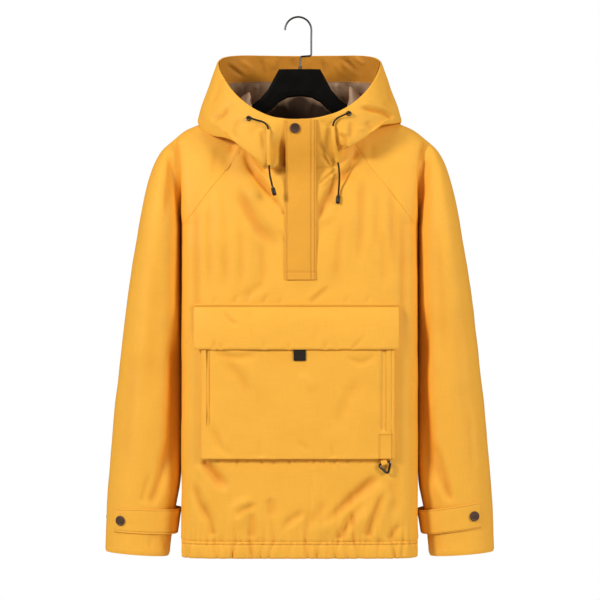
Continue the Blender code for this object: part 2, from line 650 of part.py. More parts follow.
def raglan_half(side, hand, share):
    """Half of a ring between the raglan seam and the crease, on the body's form."""
    start, end = raglan_ring_start(side, hand), crease_half(side, hand)
    if share == 0:
        return start
    x = start[:, 0] + (end[:, 0] - start[:, 0]) * share
    drop_start = shoulder_z(np.abs(start[:, 0])) - start[:, 2]
    drop_end = shoulder_z(np.abs(end[:, 0])) - end[:, 2]
    z = shoulder_z(np.abs(x)) - (drop_start + (drop_end - drop_start) * share)
    row = body_point(x, z, side)
    row[0][1] = 0.0
    row[-1] = start[-1] + (end[-1] - start[-1]) * share
    return row


def open_half(outer, inner, depth, side, power):
    """Half of a right sleeve's ring in the plane through an outer and an inner point."""
    t = ring_shares(NECK_STEPS + SEAM_ROWS)[:, None]
    line = np.asarray(outer) + (np.asarray(inner) - np.asarray(outer)) * t
    line[:, 1] = (side * depth * (4 * t * (1 - t)) ** power)[:, 0]
    return line


def whole_ring(front, back):
    """Join a front half and a back half, both from top to foot, into one closed ring."""
    return np.concatenate([front, back[-2:0:-1]])


def sleeve_sheet(name, hand):
    """One sleeve, from the raglan seam to the cuff."""
    rings = []
    for share in np.linspace(0, 1, RAGLAN_RINGS + 1)[:-1] ** 0.8:
        rings.append(whole_ring(raglan_half(FRONT, hand, share), raglan_half(BACK, hand, share)))
    rings.append(whole_ring(crease_half(FRONT, hand), crease_half(BACK, hand)))
    for row in FAN:
        outer, inner = (row.outer_x, 0.0, row.outer_z), (row.inner_x, 0.0, row.inner_z)
        ring = whole_ring(open_half(outer, inner, row.front, FRONT, row.power),
                          open_half(outer, inner, row.back, BACK, row.power))
        rings.append(ring * (hand, 1, 1))
    for z in np.linspace(TUBE[0].z, TUBE[-1].z, TUBE_RINGS + 1):
        rings.append(tube_ring(z) * (hand, 1, 1))
    return Cloth(name, rings, wrap=True)


tube_rows = table(TUBE, "z", "outer_x", "inner_x", "front", "back", "drop")


def tube_ring(z):
    """One level ring of the hanging sleeve; its inner side droops by the row's drop."""
    outer_x, inner_x, front, back, drop = tube_rows(z)
    outer, inner = (outer_x, 0.0, z), (inner_x, 0.0, z - drop)
    return whole_ring(open_half(outer, inner, front, FRONT, TUBE_POWER),
                      open_half(outer, inner, back, BACK, TUBE_POWER))


def sleeve_place(angle, z, lift=0.0):
    """A point and an outward way on the right sleeve; angle 0 is outermost, pi/2 the front."""
    def point(at):
        outer_x, inner_x, front, back, _ = tube_rows(z)
        t = (1 - np.cos(at)) / 2
        depth = np.where(np.sin(at) >= 0, -front, back) * (4 * t * (1 - t)) ** TUBE_POWER
        return np.stack([outer_x + (inner_x - outer_x) * t, depth, z + 0 * t], axis=-1)
    here = point(angle)
    way = point(angle + 0.02) - point(angle - 0.02)
    normal = np.stack([-way[..., 1], way[..., 0], 0 * way[..., 2]], axis=-1)
    normal /= np.linalg.norm(normal, axis=-1, keepdims=True)
    return here + normal * lift, normal


# ---------------------------------------------------------------- hood
def hood_point(angle, reach, side):
    """A point of the hood's outer surface.

    angle runs from the centre front (0) to the centre back (pi); reach is the
    way along the cloth from the neck seam. Near the centre front the cloth runs
    straight up from the seam, and further round it falls over the seam in a fold.
    """
    angle, reach = np.broadcast_arrays(np.asarray(angle, float), np.asarray(reach, float))
    word = "left" if side == LEFT else "right"
    names = ("half_width", "front_y", "back_y", f"{word}_z", "side_z", "back_z", f"{word}_power", f"{word}_sag",
             "back_round")
    rings = table(HOOD, "reach", *names)
    sine, cosine = np.sin(angle), np.cos(angle)

    def ring_point(at):
        half_width, front_y, back_y, front, side_z, back, power, sag, back_round = np.moveaxis(rings(at), -1, 0)
        x = half_width * np.abs(sine) ** (2 / HOOD_PLAN_POWER)
        share = np.abs(cosine) ** (2 / HOOD_PLAN_POWER)
        y = np.where(cosine > 0, -front_y, back_y) * share
        fall = (front - side_z) * share ** power - sag * np.sin(math.pi * share ** HOOD_SAG_POWER)
        level = share ** 2 + back_round * (1 - (1 - share) ** 2 - share ** 2)
        z = side_z + np.where(cosine > 0, fall, (back - side_z) * level)
        return np.stack([x, y, z], axis=-1)

    neck = neck_point(angle)
    away = neck * (1, 1, 0)
    away = away / np.maximum(np.linalg.norm(away, axis=-1, keepdims=True), 1e-9)
    seat = neck + (away + np.array([0, 0, 1.0])) * SEAT
    first = ring_point(np.full_like(reach, HOOD[0].reach))
    share = np.clip(reach / HOOD[0].reach, 0, 1)[..., None]
    lower = seat + (first - seat) * share
    lower = lower + (away + np.array([0, 0, 1.0])) * UNDERLAY_RISE * np.sin(math.pi * share)
    folded = np.where((reach < HOOD[0].reach)[..., None], lower, ring_point(np.maximum(reach, HOOD[0].reach)))
    rim = ring_point(np.full_like(reach, HOOD[-1].reach))
    rise = (reach / HOOD[-1].reach)[..., None]
    bulge = FRONT_BULGE * np.sin(math.pi * rise)
    straight = seat + (rim - seat) * rise + bulge * away
    flat_until, folds_from = FLAT_STRIP[side]
    strip = 1 - ease((straight[..., 0] - flat_until) / (folds_from - flat_until))[..., None]
    strip = np.where((cosine > 0)[..., None], strip, 0.0)
    point = folded + (straight - folded) * strip
    return point * np.array([side, 1, 1])


def hood_angles():
    """Places round a hood half, with the sleeve's own places between the raglan seams."""
    front, back = RAGLAN_NECK_ANGLE[FRONT], RAGLAN_NECK_ANGLE[BACK]
    ends = [0.0, front, math.pi / 2, back, math.pi]
    steps = [HOOD_STEPS[0], NECK_STEPS, NECK_STEPS, HOOD_STEPS[1]]
    spans = [np.linspace(start, end, count + 1)[:-1] for start, end, count in zip(ends, ends[1:], steps)]
    return np.concatenate([*spans, [math.pi]])


def hood_sheet(name, side, rows, inner=0.0, thickness=CLOTH, colour=YELLOW):
    """A layer of one hood half on some of its rows, moved in by inner."""
    angles = hood_angles()[None, :]
    reach = np.array(HOOD_REACH)[:, None]
    sheet = Cloth(name, hood_point(angles, reach, side), thickness, colour=colour)
    sheet.normals[:, (0, -1), 0] = 0.0
    sheet.normals /= np.linalg.norm(sheet.normals, axis=2, keepdims=True)
    sheet.points = (sheet.points - sheet.normals * inner)[rows]
    sheet.normals = sheet.normals[rows]
    return sheet


def hood_lining(name, side):
    """The lining: beside the placket it follows the hood, further round it cuts across the fold."""
    lining = hood_sheet(name, side, LINING_ROWS, CLOTH + LINING_GAP, LINING, TAUPE)
    below, above = lining.points[LINING_ACROSS - 1], lining.points[LINING_ACROSS + 1]
    folds = ease((hood_angles() - LINING_FOLLOWS) / (LINING_FREE - LINING_FOLLOWS))[:, None]
    across = lining.points[LINING_ACROSS]
    lining.points[LINING_ACROSS] = across + ((below + above) / 2 - across) * folds
    return lining


def hood_place(x, z, side):
    """The angle and reach of a place on the hood's outer front, and its point and normal."""
    angles = np.linspace(math.radians(4), math.radians(80), 240)
    reaches = np.linspace(0, HOOD[-1].reach, 240)
    grid = hood_point(angles[:, None], reaches[None, :], side)
    miss = np.hypot(grid[..., 0] - x, grid[..., 2] - z)
    depth = np.where(miss < max(0.0015, miss.min()), grid[..., 1], np.inf)
    angle_index, reach_index = np.unravel_index(np.argmin(depth), depth.shape)
    at = np.array([angles[angle_index], reaches[reach_index]])
    step = 1e-4
    for _ in range(8):
        here = hood_point(at[0], at[1], side)
        by_angle = (hood_point(at[0] + step, at[1], side) - here) / step
        by_reach = (hood_point(at[0], at[1] + step, side) - here) / step
        slope = np.array([[by_angle[0], by_reach[0]], [by_angle[2], by_reach[2]]])
        at = at + np.linalg.solve(slope, np.array([x - here[0], z - here[2]]))
    normal = np.cross(by_angle, by_reach)
    normal /= np.linalg.norm(normal)
    return here, normal if normal[1] < 0 else -normal


# ---------------------------------------------------------------- sewn on pieces
def placket_depth(z):
    """How far out the placket's back lies, over the body and the hood's front edges."""
    heights = np.linspace(PLACKET_Z[0], PLACKET_Z[1], PLACKET_HEIGHTS)
    step = heights[1] - heights[0]
    xs = np.linspace(*PLACKET_X, 7)
    depths = np.array([max(-body_point(xs, height, FRONT)[:, 1]) for height in heights])
    angles, reaches = np.radians(np.linspace(0, 40, 60)), np.linspace(0, HOOD[-1].reach, 60)
    for side in (LEFT, RIGHT):
        hood = hood_point(angles[:, None], reaches[None, :], side).reshape(-1, 3)
        hood = hood[(hood[:, 0] > PLACKET_X[0] - 0.001) & (hood[:, 0] < PLACKET_X[1] + 0.001)]
        for index, height in enumerate(heights):
            near = hood[np.abs(hood[:, 2] - height) < 1.5 * step]
            if len(near):
                depths[index] = max(depths[index], max(-near[:, 1]))
    for _ in range(PLACKET_EASINGS):
        depths[1:-1] = np.maximum(depths[1:-1], (depths[:-2] + depths[2:]) / 2)
    return np.interp(z, heights, depths) + REST


def placket():
    """The fly over the centre front, one stitched layer."""
    heights = np.linspace(PLACKET_Z[1], PLACKET_Z[0], 17)
    xs = np.linspace(*PLACKET_X, 5)
    rows = [[(x, -placket_depth(z) - PLACKET_THICK, z) for x in xs] for z in heights]
    return Cloth("placket", rows, PLACKET_THICK, facing=(0, -1, 0))


def columns_between(low, high):
    """The front panel's own columns between two places, and the two places."""
    inside = [x for x in section_columns() * SIDE_X if low + CLOSEST_COLUMN < x < high - CLOSEST_COLUMN]
    return [low, *inside, high]


def pocket_front():
    """The pocket's face with a hand slit near its left edge and a groove near its right."""
    middle = columns_between(SLIT_X[1], GROOVE_X[0])
    xs = [POCKET_X[0], SLIT_X[0], *middle, GROOVE_X[1], POCKET_X[1]]
    upper = np.linspace(POCKET_Z[1], SLIT_FOOT_Z, 5)
    zs = [*upper, GROOVE_FOOT_Z, POCKET_MID_Z, POCKET_Z[0]]
    points = body_point(np.array(xs)[None, :], np.array(zs)[:, None], FRONT, POCKET_STAND)
    slit_rows, groove_rows = len(upper) - 1, len(upper)
    groove_column = xs.index(GROOVE_X[0])
    holes = [(row, 1) for row in range(slit_rows)] + [(row, groove_column) for row in range(groove_rows)]
    return Cloth("pocket_front", points, facing=(0, -1, 0), holes=holes)


GussetRow = namedtuple("GussetRow", "inward lift")
GUSSET_WALL = 0.0010
GUSSET = [GussetRow(0.0012, 0.0018), GussetRow(0.0002, 0.0034), GussetRow(0.0004, 0.0052),
          GussetRow(0.0022, 0.0064), GussetRow(0.0180, 0.0066)]


def pocket_gusset():
    """The bellows: a strip that rises at the pocket's edge and turns in under its face."""
    left, right = POCKET_X
    foot, top = POCKET_Z
    stations = [(left, z, 1, 0) for z in np.linspace(top, foot + POCKET_CORNER, 5)]
    stations += [(left, foot, 1, 1)]
    stations += [(x, foot, 0, 1) for x in columns_between(left + POCKET_CORNER, right - POCKET_CORNER)]
    stations += [(right, foot, -1, 1)]
    stations += [(right, z, -1, 0) for z in np.linspace(foot + POCKET_CORNER, top, 5)]
    rows = []
    for x, z, in_x, in_z in stations:
        rows.append([body_point(x + row.inward * in_x, z + row.inward * in_z, FRONT, row.lift)
                     for row in GUSSET])
    return Cloth("pocket_gusset", rows, GUSSET_WALL, facing=(0, -1, 0))


def pocket_flap():
    """The flap: sewn down along its top edge, it stands over the pocket below."""
    xs = np.array(columns_between(*FLAP_X))
    zs = np.array(FLAP_ROWS_Z)
    sewn = 2 * REST + FLAP_THICK
    stand = sewn + (FLAP_STAND - sewn) * ease((zs[0] - FLAP_SEWN - zs) / FLAP_SWING)
    points = body_point(xs[None, :], zs[:, None], FRONT, stand[:, None])
    return Cloth("pocket_flap", points, FLAP_THICK, facing=(0, -1, 0))


def pocket_tab():
    """The webbing tab that shows under the flap."""
    xs = np.linspace(*TAB_X, 3)
    zs = np.linspace(TAB_Z[1], TAB_Z[0], 4)
    points = body_point(xs[None, :], zs[:, None], FRONT, POCKET_STAND + REST + TAB_THICK)
    return Cloth("pocket_tab", points, TAB_THICK, facing=(0, -1, 0), colour=BLACK)


def hem_band():
    """The gathered casing: a closed band whose section ripples once for each gather."""
    pattern = np.array(GATHER_PATTERN)
    columns = GATHERS * len(pattern)
    quarter = np.linspace(0, 1, 2001)
    shares = np.sin(quarter * math.pi / 2) ** (2 / SIDE_ROUNDNESS)
    rows = []
    for z in (HEM_TOP_Z - 2 * REST, HEM_Z):
        half = []
        for side in (FRONT, BACK):
            x = np.concatenate([-shares[::-1], shares[1:]]) * SIDE_X
            half.append(body_point(x, z, side))
        loop = np.concatenate([half[0], half[1][::-1][1:-1]])
        ring = evenly(np.concatenate([loop, loop[:1]]), columns)[:-1]
        rows.append(ring)
    rows = np.array(rows)
    index = np.arange(columns)
    gather = index // len(pattern)
    uneven = 0.72 + 0.28 * np.sin(gather * 2.4) * np.cos(gather * 0.7)
    ripple = GATHER_HEIGHT * uneven * pattern[index % len(pattern)]
    sheet = Cloth("hem_band", rows, HEM_THICK, wrap=True)
    sheet.points = sheet.points + sheet.normals * (ripple - GATHER_INSET)[None, :, None]
    return sheet


def cuff_strap(row):
    """A strap round the cuff: snapped at the front, slack on the side by the body."""
    angles = np.linspace(row.start, STRAP_END, 21)
    middle = (row.outer_top + row.inner_top) / 2
    slack = STRAP_SLACK * np.exp(-((angles - math.pi) / STRAP_SLACK_SPREAD) ** 2)
    upper, normal = sleeve_place(angles, middle)
    lower, _ = sleeve_place(angles, middle - STRAP_FORM)
    share = (1 - np.cos(angles)) / 2
    top = row.outer_top + (row.inner_top - row.outer_top) * share
    height = row.outer_height + (row.inner_height - row.outer_height) * share
    rows = []
    for level in (0.0, 0.5, 1.0):
        ring = upper + (lower - upper) * level + normal * (STRAP_LIFT + slack)[:, None]
        ring[:, 2] = top - height * level
        rows.append(ring)
    name = "cuff_strap_left" if row.side == LEFT else "cuff_strap_right"
    return Cloth(name, np.array(rows) * (row.side, 1, 1))


# ---------------------------------------------------------------- hard pieces
def cuff_snaps(row):
    """The snap on the strap's end and the spare one behind it on the sleeve."""
    word = "left" if row.side == LEFT else "right"
    share = (1 - math.cos(row.snap)) / 2
    top = row.outer_top + (row.inner_top - row.outer_top) * share
    height = top - (row.outer_height + (row.inner_height - row.outer_height) * share) / 2
    flip = np.array([row.side, 1, 1])
    point, normal = sleeve_place(row.snap, height, STRAP_LIFT)
    snap(f"cuff_snap_{word}", point * flip, normal * flip, SNAP_RADIUS)
    point, normal = sleeve_place(SLEEVE_SNAP_ANGLE, height)
    snap(f"sleeve_snap_{word}", point * flip, normal * flip, SMALL_SNAP_RADIUS)


def eyelet(name, side):
    """A small metal ring round the hole where the drawcord comes out."""
    point, normal = hood_place(*EYELET_PLACE[side], side)
    mesh = bmesh.new()
    rings = []
    for turn in range(EYELET_STEPS):
        angle = 2 * math.pi * turn / EYELET_STEPS
        centre = Vector((math.cos(angle), math.sin(angle), 0)) * (EYELET_RADIUS - EYELET_WIRE)
        ring = []
        for step in range(EYELET_SIDES):
            tilt = 2 * math.pi * step / EYELET_SIDES
            out = Vector((math.cos(angle), math.sin(angle), 0)) * math.cos(tilt)
            ring.append(mesh.verts.new(centre + (out + Vector((0, 0, math.sin(tilt)))) * EYELET_WIRE))
        rings.append(ring)
    for turn in range(EYELET_STEPS):
        here, following = rings[turn], rings[(turn + 1) % EYELET_STEPS]
        for step in range(EYELET_SIDES):
            after = (step + 1) % EYELET_SIDES
            mesh.faces.new([here[step], following[step], following[after], here[after]])
    mesh.transform(frame_at(Vector(point) + Vector(normal) * (REST + EYELET_WIRE), normal))
    return smooth_mesh(name, mesh, BLACK, 0.4, 0.5)


def cord_line(side):
    """A smooth curve through the cord's route."""
    route = np.array(CORD_ROUTE[side])
    curve = profile(np.arange(len(route)), route)
    return curve(np.linspace(0, len(route) - 1, 400))


def tunnel(name, side):
    """The arched strip that holds the cord down beside the placket."""
    top, foot = TUNNEL_Z[side]
    line = cord_line(side)
    line = evenly(line[(line[:, 2] < top) & (line[:, 2] > foot)], TUNNEL_STEPS)
    along = np.gradient(line, axis=0)
    along /= np.linalg.norm(along, axis=1, keepdims=True)
    out = np.array([0.0, -1.0, 0.0]) - along * -along[:, 1:2]
    out /= np.linalg.norm(out, axis=1, keepdims=True)
    across = np.cross(out, along)
    rows = [[point + sideways * row.across + outward * row.out for row in TUNNEL_ARCH]
            for point, sideways, outward in zip(line, across, out)]
    return Cloth(name, rows, TUNNEL_WALL, facing=(0, -1, 0))


def cord_tip(name, side):
    """The moulded end of a drawcord, just clear of the cord's end."""
    line = cord_line(side)
    way = Vector(line[-1] - line[-8]).normalized()
    mesh = bmesh.new()
    rings = []
    for row in TIP:
        ring = []
        for step in range(TIP_SIDES):
            angle = 2 * math.pi * step / TIP_SIDES
            across, aside = row.radius * math.cos(angle), row.radius * math.sin(angle)
            ring.append(mesh.verts.new((across, aside, row.reach)))
        rings.append(ring)
    for here, following in zip(rings, rings[1:]):
        for step in range(TIP_SIDES):
            after = (step + 1) % TIP_SIDES
            mesh.faces.new([here[step], here[after], following[after], following[step]])
    mesh.faces.new(rings[0])
    mesh.faces.new(rings[-1])
    mesh.transform(frame_at(Vector(line[-1]) + way * REST, way))
    return smooth_mesh(name, mesh, BLACK, 0.35)


def ring_points():
    """Centre line of the ring: a bar and two arms with rounded corners, in its own plane."""
    half = RING_BAR / 2
    corners = [Vector((-half, 0)), Vector((half, 0)), Vector((0, -RING_HEIGHT))]
    points = []
    for index, corner in enumerate(corners):
        before = (corners[index - 1] - corner).normalized()
        after = (corners[(index + 1) % 3] - corner).normalized()
        half_angle = math.acos(before.dot(after)) / 2
        inward = (before + after).normalized()
        centre = corner + inward * (RING_CORNER / math.sin(half_angle))
        sweep = math.pi / 2 - half_angle
        for step in range(5):
            turn = Matrix.Rotation(sweep * (1 - step / 2), 2)
            points.append(centre + turn @ (-inward * RING_CORNER))
    tilt = Matrix.Rotation(RING_TILT, 2)
    return [tilt @ point for point in points]


def ring_and_loop():
    """The ring hangs by its bar in a tape loop under the pocket's bottom edge."""
    x, z = RING_PLACE
    loop_radius = RING_WIRE + LOOP_CLEAR + LOOP_WALL
    surface = body_point(x, z, FRONT)
    y = surface[1] - loop_radius - 2 * REST - LOOP_AHEAD
    axis = Vector((math.cos(RING_TILT), 0, math.sin(RING_TILT)))
    hinge = bpy.data.objects.new("ring_hinge", None)
    bpy.context.collection.objects.link(hinge)
    hinge.parent = bpy.data.objects["centre_line"]
    hinge.location = (x, y, z)
    points = [Vector((point.x, 0, point.y)) for point in ring_points()]
    ring = tube("ring", points, RING_WIRE, BLACK, cyclic=True)
    ring.parent = hinge
    up = Vector((0, 1, 0)).cross(axis) * -1
    turns = [math.radians(angle) for angle in range(-210, 31, 30)]
    outline = [(loop_radius * math.cos(turn), loop_radius * math.sin(turn)) for turn in turns]
    outline += [(LOOP_HALF_THICK, LOOP_TOP), (-LOOP_HALF_THICK, LOOP_TOP)]
    rows = []
    for share in (-0.5, 0.5):
        start = Vector((x, y, z)) + axis * (LOOP_WIDTH * share)
        rows.append([start + Vector((0, 1, 0)) * across + up * rise for across, rise in outline])
    return Cloth("ring_loop", np.array(rows), LOOP_WALL, wrap=True)


def hanger():
    """The broad hanger: rounded sections along its arms, mirrored about its middle."""
    rows = [*reversed([row._replace(x=-row.x) for row in HANGER[1:]]), *HANGER]
    mesh = bmesh.new()
    rings = []
    for row in rows:
        middle, half = (row.top + row.foot) / 2, (row.top - row.foot) / 2
        ring = []
        for step in range(HANGER_SIDES):
            angle = 2 * math.pi * (step + 0.5) / HANGER_SIDES
            across = math.copysign(abs(math.cos(angle)) ** row.squareness, math.cos(angle))
            rise = math.copysign(abs(math.sin(angle)) ** row.squareness, math.sin(angle))
            ring.append(mesh.verts.new((row.x, across * row.half_depth, middle + rise * half)))
        rings.append(ring)
    for here, following in zip(rings, rings[1:]):
        for step in range(HANGER_SIDES):
            after = (step + 1) % HANGER_SIDES
            mesh.faces.new([here[step], following[step], following[after], here[after]])
    mesh.faces.new(rings[0])
    mesh.faces.new(rings[-1])
    return smooth_mesh("hanger", mesh, BLACK, 0.55)


def hook():
    """The wire hook: an arc, a straight stem and a jog back to the hanger's middle."""
    centre_z = HOOK_WIRE - HOOK_RADIUS
    points = []
    for angle in np.linspace(math.pi, 0, 17):
        x, z = HOOK_CENTRE_X + HOOK_RADIUS * math.cos(angle), centre_z + HOOK_RADIUS * math.sin(angle)
        points.append((x, 0, z))
    jog = [(HOOK_STEM_X, 0, centre_z - 0.014), (HOOK_STEM_X, 0, HOOK_JOG_Z + 0.0030),
           (HOOK_STEM_X - 0.0009, 0, HOOK_JOG_Z + 0.0009), (HOOK_STEM_X - 0.0030, 0, HOOK_JOG_Z),
           (HOOK_FOOT_X + 0.0030, 0, HOOK_JOG_Z - 0.0009), (HOOK_FOOT_X + 0.0009, 0, HOOK_JOG_Z - 0.0020),
           (HOOK_FOOT_X, 0, HOOK_JOG_Z - 0.0045), (HOOK_FOOT_X, 0, HANGER_TOP_Z + REST)]
    return tube("hook", points + jog, HOOK_WIRE, STEEL)


def hook_collar():
    """The small ferrule round the hook's foot, just clear of the wire."""
    mesh = bmesh.new()
    inner = HOOK_WIRE + COLLAR_CLEAR
    outer = inner + COLLAR_WALL
    foot, top = HANGER_TOP_Z + REST, HANGER_TOP_Z + COLLAR_HEIGHT
    outline = [(inner, foot), (outer, foot), (outer, top - 0.0008), (inner + 0.0004, top), (inner, top)]
    rings = []
    for step in range(COLLAR_SIDES):
        angle = 2 * math.pi * step / COLLAR_SIDES
        rings.append([mesh.verts.new((HOOK_FOOT_X + radius * math.cos(angle), radius * math.sin(angle), z))
                      for radius, z in outline])
    for step in range(COLLAR_SIDES):
        here, following = rings[step], rings[(step + 1) % COLLAR_SIDES]
        for index in range(len(outline)):
            after = (index + 1) % len(outline)
            mesh.faces.new([here[index], following[index], following[after], here[after]])
    return smooth_mesh("hook_collar", mesh, STEEL, 0.35, 0.8)


# ---------------------------------------------------------------- assembly
def build_body():
    """Panels and sleeves, with common normals along their seams."""
    front = body_panel("front", FRONT)
    back = body_panel("back", BACK)
    right = sleeve_sheet("sleeve_right", RIGHT)
    left = sleeve_sheet("sleeve_left", LEFT)
    share_seam_normals([front, back, right, left])
    for panel in (front, back):
        panel.normals[-1, :, 2] = 0.0
        panel.inset(top=SEAM, bottom=SEAM, left=SEAM, right=SEAM).build()
    for sleeve in (right, left):
        for part in SLEEVE_PARTS:
            stretch = sleeve.stretch(f"{sleeve.name}_{part.word}", part.start, part.end)
            ends = {"top": SEAM} if part is SLEEVE_PARTS[-1] else {"top": SEAM, "bottom": SEAM}
            stretch.inset(**ends).build()


def build_hood():
    """Outer halves, then the facing at the rim and the lining below it."""
    for side, word in ((LEFT, "left"), (RIGHT, "right")):
        outer = hood_sheet(f"hood_{word}", side, range(len(HOOD_REACH)))
        outer.inset(left=SEAM, right=SEAM).build()
        facing = hood_sheet(f"hood_facing_{word}", side, FACING_ROWS, CLOTH + LINING_GAP, LINING)
        facing.inset(left=SEAM, right=SEAM, top=SEAM).build()
        hood_lining(f"hood_lining_{word}", side).inset(left=SEAM, right=SEAM, bottom=SEAM).build()


def main():
    for stale in list(bpy.data.objects):
        bpy.data.objects.remove(stale)
    centre = bpy.data.objects.new("centre_line", None)
    centre.location = (CENTRE_X, 0.0, 0.0)
    bpy.context.collection.objects.link(centre)
    build_body()
    build_hood()
    placket().build()
    pocket_front().build()
    pocket_gusset().build()
    pocket_flap().build()
    pocket_tab().build()
    hem_band().build()
    for row in STRAPS:
        cuff_strap(row).build()
        cuff_snaps(row)
    for side, word in ((LEFT, "left"), (RIGHT, "right")):
        eyelet(f"eyelet_{word}", side)
        tunnel(f"tunnel_{word}", side).build()
        tube(f"drawcord_{word}", evenly(cord_line(side), CORD_STEPS), CORD_RADIUS, BLACK)
        cord_tip(f"cord_tip_{word}", side)
    x, z = PLACKET_SNAP_PLACE
    snap("placket_snap", (x, -placket_depth(z) - PLACKET_THICK, z), (0, -1, 0), SNAP_RADIUS)
    ring_and_loop().build()
    hanger()
    hook()
    hook_collar()


main()
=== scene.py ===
"""The finished anorak on its hanger: cloth, stitching, cords and trim over the frame.

Metres, +Z up, front towards -Y. Left and right are as seen from the front. The
origin is the inner top of the hanger's hook. Garment sizes are measured from
the garment's centre line, which stands at x = CENTRE_X.
"""

import logging
import math
from dataclasses import dataclass, field
from enum import IntEnum
from typing import Callable, NamedTuple, Sequence

import bpy
import numpy as np
from mathutils import Matrix, Vector, noise

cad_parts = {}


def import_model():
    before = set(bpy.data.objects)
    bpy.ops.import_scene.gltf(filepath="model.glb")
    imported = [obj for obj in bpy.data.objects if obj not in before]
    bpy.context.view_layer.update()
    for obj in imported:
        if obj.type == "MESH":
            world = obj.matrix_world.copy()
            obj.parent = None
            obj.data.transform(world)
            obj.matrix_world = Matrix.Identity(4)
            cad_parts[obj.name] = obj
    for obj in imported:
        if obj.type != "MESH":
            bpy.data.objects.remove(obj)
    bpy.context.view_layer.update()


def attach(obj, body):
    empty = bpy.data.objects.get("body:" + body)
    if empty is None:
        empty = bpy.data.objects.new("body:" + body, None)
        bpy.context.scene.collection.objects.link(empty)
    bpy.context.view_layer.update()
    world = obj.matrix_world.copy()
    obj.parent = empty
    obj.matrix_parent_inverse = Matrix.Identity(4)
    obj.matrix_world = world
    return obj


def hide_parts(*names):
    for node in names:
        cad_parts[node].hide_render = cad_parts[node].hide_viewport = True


log = logging.getLogger("anorak")

CENTRE_X = 0.0023
BODY = "garment"
PER_METRE = 10000


class Side(IntEnum):
    """The half of the garment a piece lies on, as the sign of its y."""

    FRONT = -1
    BACK = 1


class Hand(IntEnum):
    """Left or right as seen from the front, as the sign of its x."""

    LEFT = -1
    RIGHT = 1

    @property
    def word(self) -> str:
        """The word used in the names of pieces."""
        return self.name.lower()


# ---------------------------------------------------------------- curves
Reader = Callable[[np.ndarray], np.ndarray]


def profile(keys: Sequence[float], values: Sequence) -> Reader:
    """A smooth curve through values at keys, held flat past both ends.

    Args:
        keys: Where each value stands, in any order.
        values: One number or one row of numbers for each key.

    Returns:
        A function that reads the curve at one key or at an array of keys.
    """
    keys, values = np.asarray(keys, float), np.asarray(values, float)
    order = np.argsort(keys)
    keys, values = keys[order], values[order]
    slopes = np.gradient(values, keys, axis=0)

    def read(key: np.ndarray) -> np.ndarray:
        """The curve at one key or at many.

        Args:
            key: One key or an array of them.

        Returns:
            The values at the keys.
        """
        key = np.clip(np.asarray(key, float), keys[0], keys[-1])
        index = np.clip(np.searchsorted(keys, key) - 1, 0, len(keys) - 2)
        span = keys[index + 1] - keys[index]
        t = (key - keys[index]) / span
        if values.ndim > 1:
            t, span = t[..., None], span[..., None]
        start, end = values[index], values[index + 1]
        rise = slopes[index] * span * t * (1 - t) ** 2 - slopes[index + 1] * span * t * t * (1 - t)
        return start + (end - start) * t * t * (3 - 2 * t) + rise

    return read


def metres(*rows: tuple[int, ...]) -> tuple[tuple[float, ...], ...]:
    """The rows of a table written in tenths of a millimetre, in metres."""
    return tuple(tuple(value / PER_METRE for value in row) for row in rows)


def named(kind: type, *rows: tuple[int, ...]) -> tuple:
    """The rows of a table written in tenths of a millimetre, in metres and with named columns."""
    return tuple(kind(*row) for row in metres(*rows))


def table(rows: Sequence[NamedTuple], key: str, *columns: str) -> Reader:
    """A profile through the named columns of a table.

    Args:
        rows: The table's rows.
        key: The column the curve is read by.
        columns: The columns it gives.

    Returns:
        The profile's reader.
    """
    values = [[getattr(row, column) for column in columns] for row in rows]
    if len(columns) == 1:
        values = [value[0] for value in values]
    return profile([getattr(row, key) for row in rows], values)


def ease(t: np.ndarray) -> np.ndarray:
    """A smooth step from 0 to 1."""
    t = np.clip(t, 0.0, 1.0)
    return t * t * (3 - 2 * t)


def reach_along(points: np.ndarray) -> np.ndarray:
    """The way along a polyline to each of its points."""
    return np.concatenate([[0.0], np.cumsum(np.linalg.norm(np.diff(points, axis=0), axis=1))])


def read_rows(wanted: np.ndarray, keys: np.ndarray, rows: np.ndarray) -> np.ndarray:
    """Rows of numbers read straight between their keys."""
    return np.stack([np.interp(wanted, keys, column) for column in rows.T], axis=-1)


def read_line(points: np.ndarray, wanted: np.ndarray) -> np.ndarray:
    """Points at given distances along a polyline."""
    points = np.asarray(points, float)
    return read_rows(wanted, reach_along(points), points)


def evenly(points: np.ndarray, count: int) -> np.ndarray:
    """count + 1 points at even distances along a polyline."""
    return read_line(points, np.linspace(0.0, reach_along(np.asarray(points, float))[-1], count + 1))


def stations(length: float, step: float, marks: Sequence[float] = (), fine: float = 0.0007) -> np.ndarray:
    """Places along a length, closer together round each mark, so that a stitch line can sink in.

    Args:
        length: The whole length.
        step: The usual distance between places.
        marks: Places that need a narrow groove.
        fine: The distance between places beside a mark.

    Returns:
        The places in order, from 0 to length.
    """
    cleared, least = 2.4 * fine, 0.3 * fine
    places = list(np.linspace(0.0, length, max(2, round(length / step) + 1)))
    for mark in marks:
        places = [place for place in places if abs(place - mark) > cleared or place in (0.0, length)]
        places += [mark + fine * offset for offset in (-2, -1, 0, 1, 2)]
    places = sorted(place for place in places if 0.0 <= place <= length)
    kept = [places[0]]
    for place in places[1:]:
        if place - kept[-1] > least:
            kept.append(place)
    kept[-1] = length
    return np.array(kept)


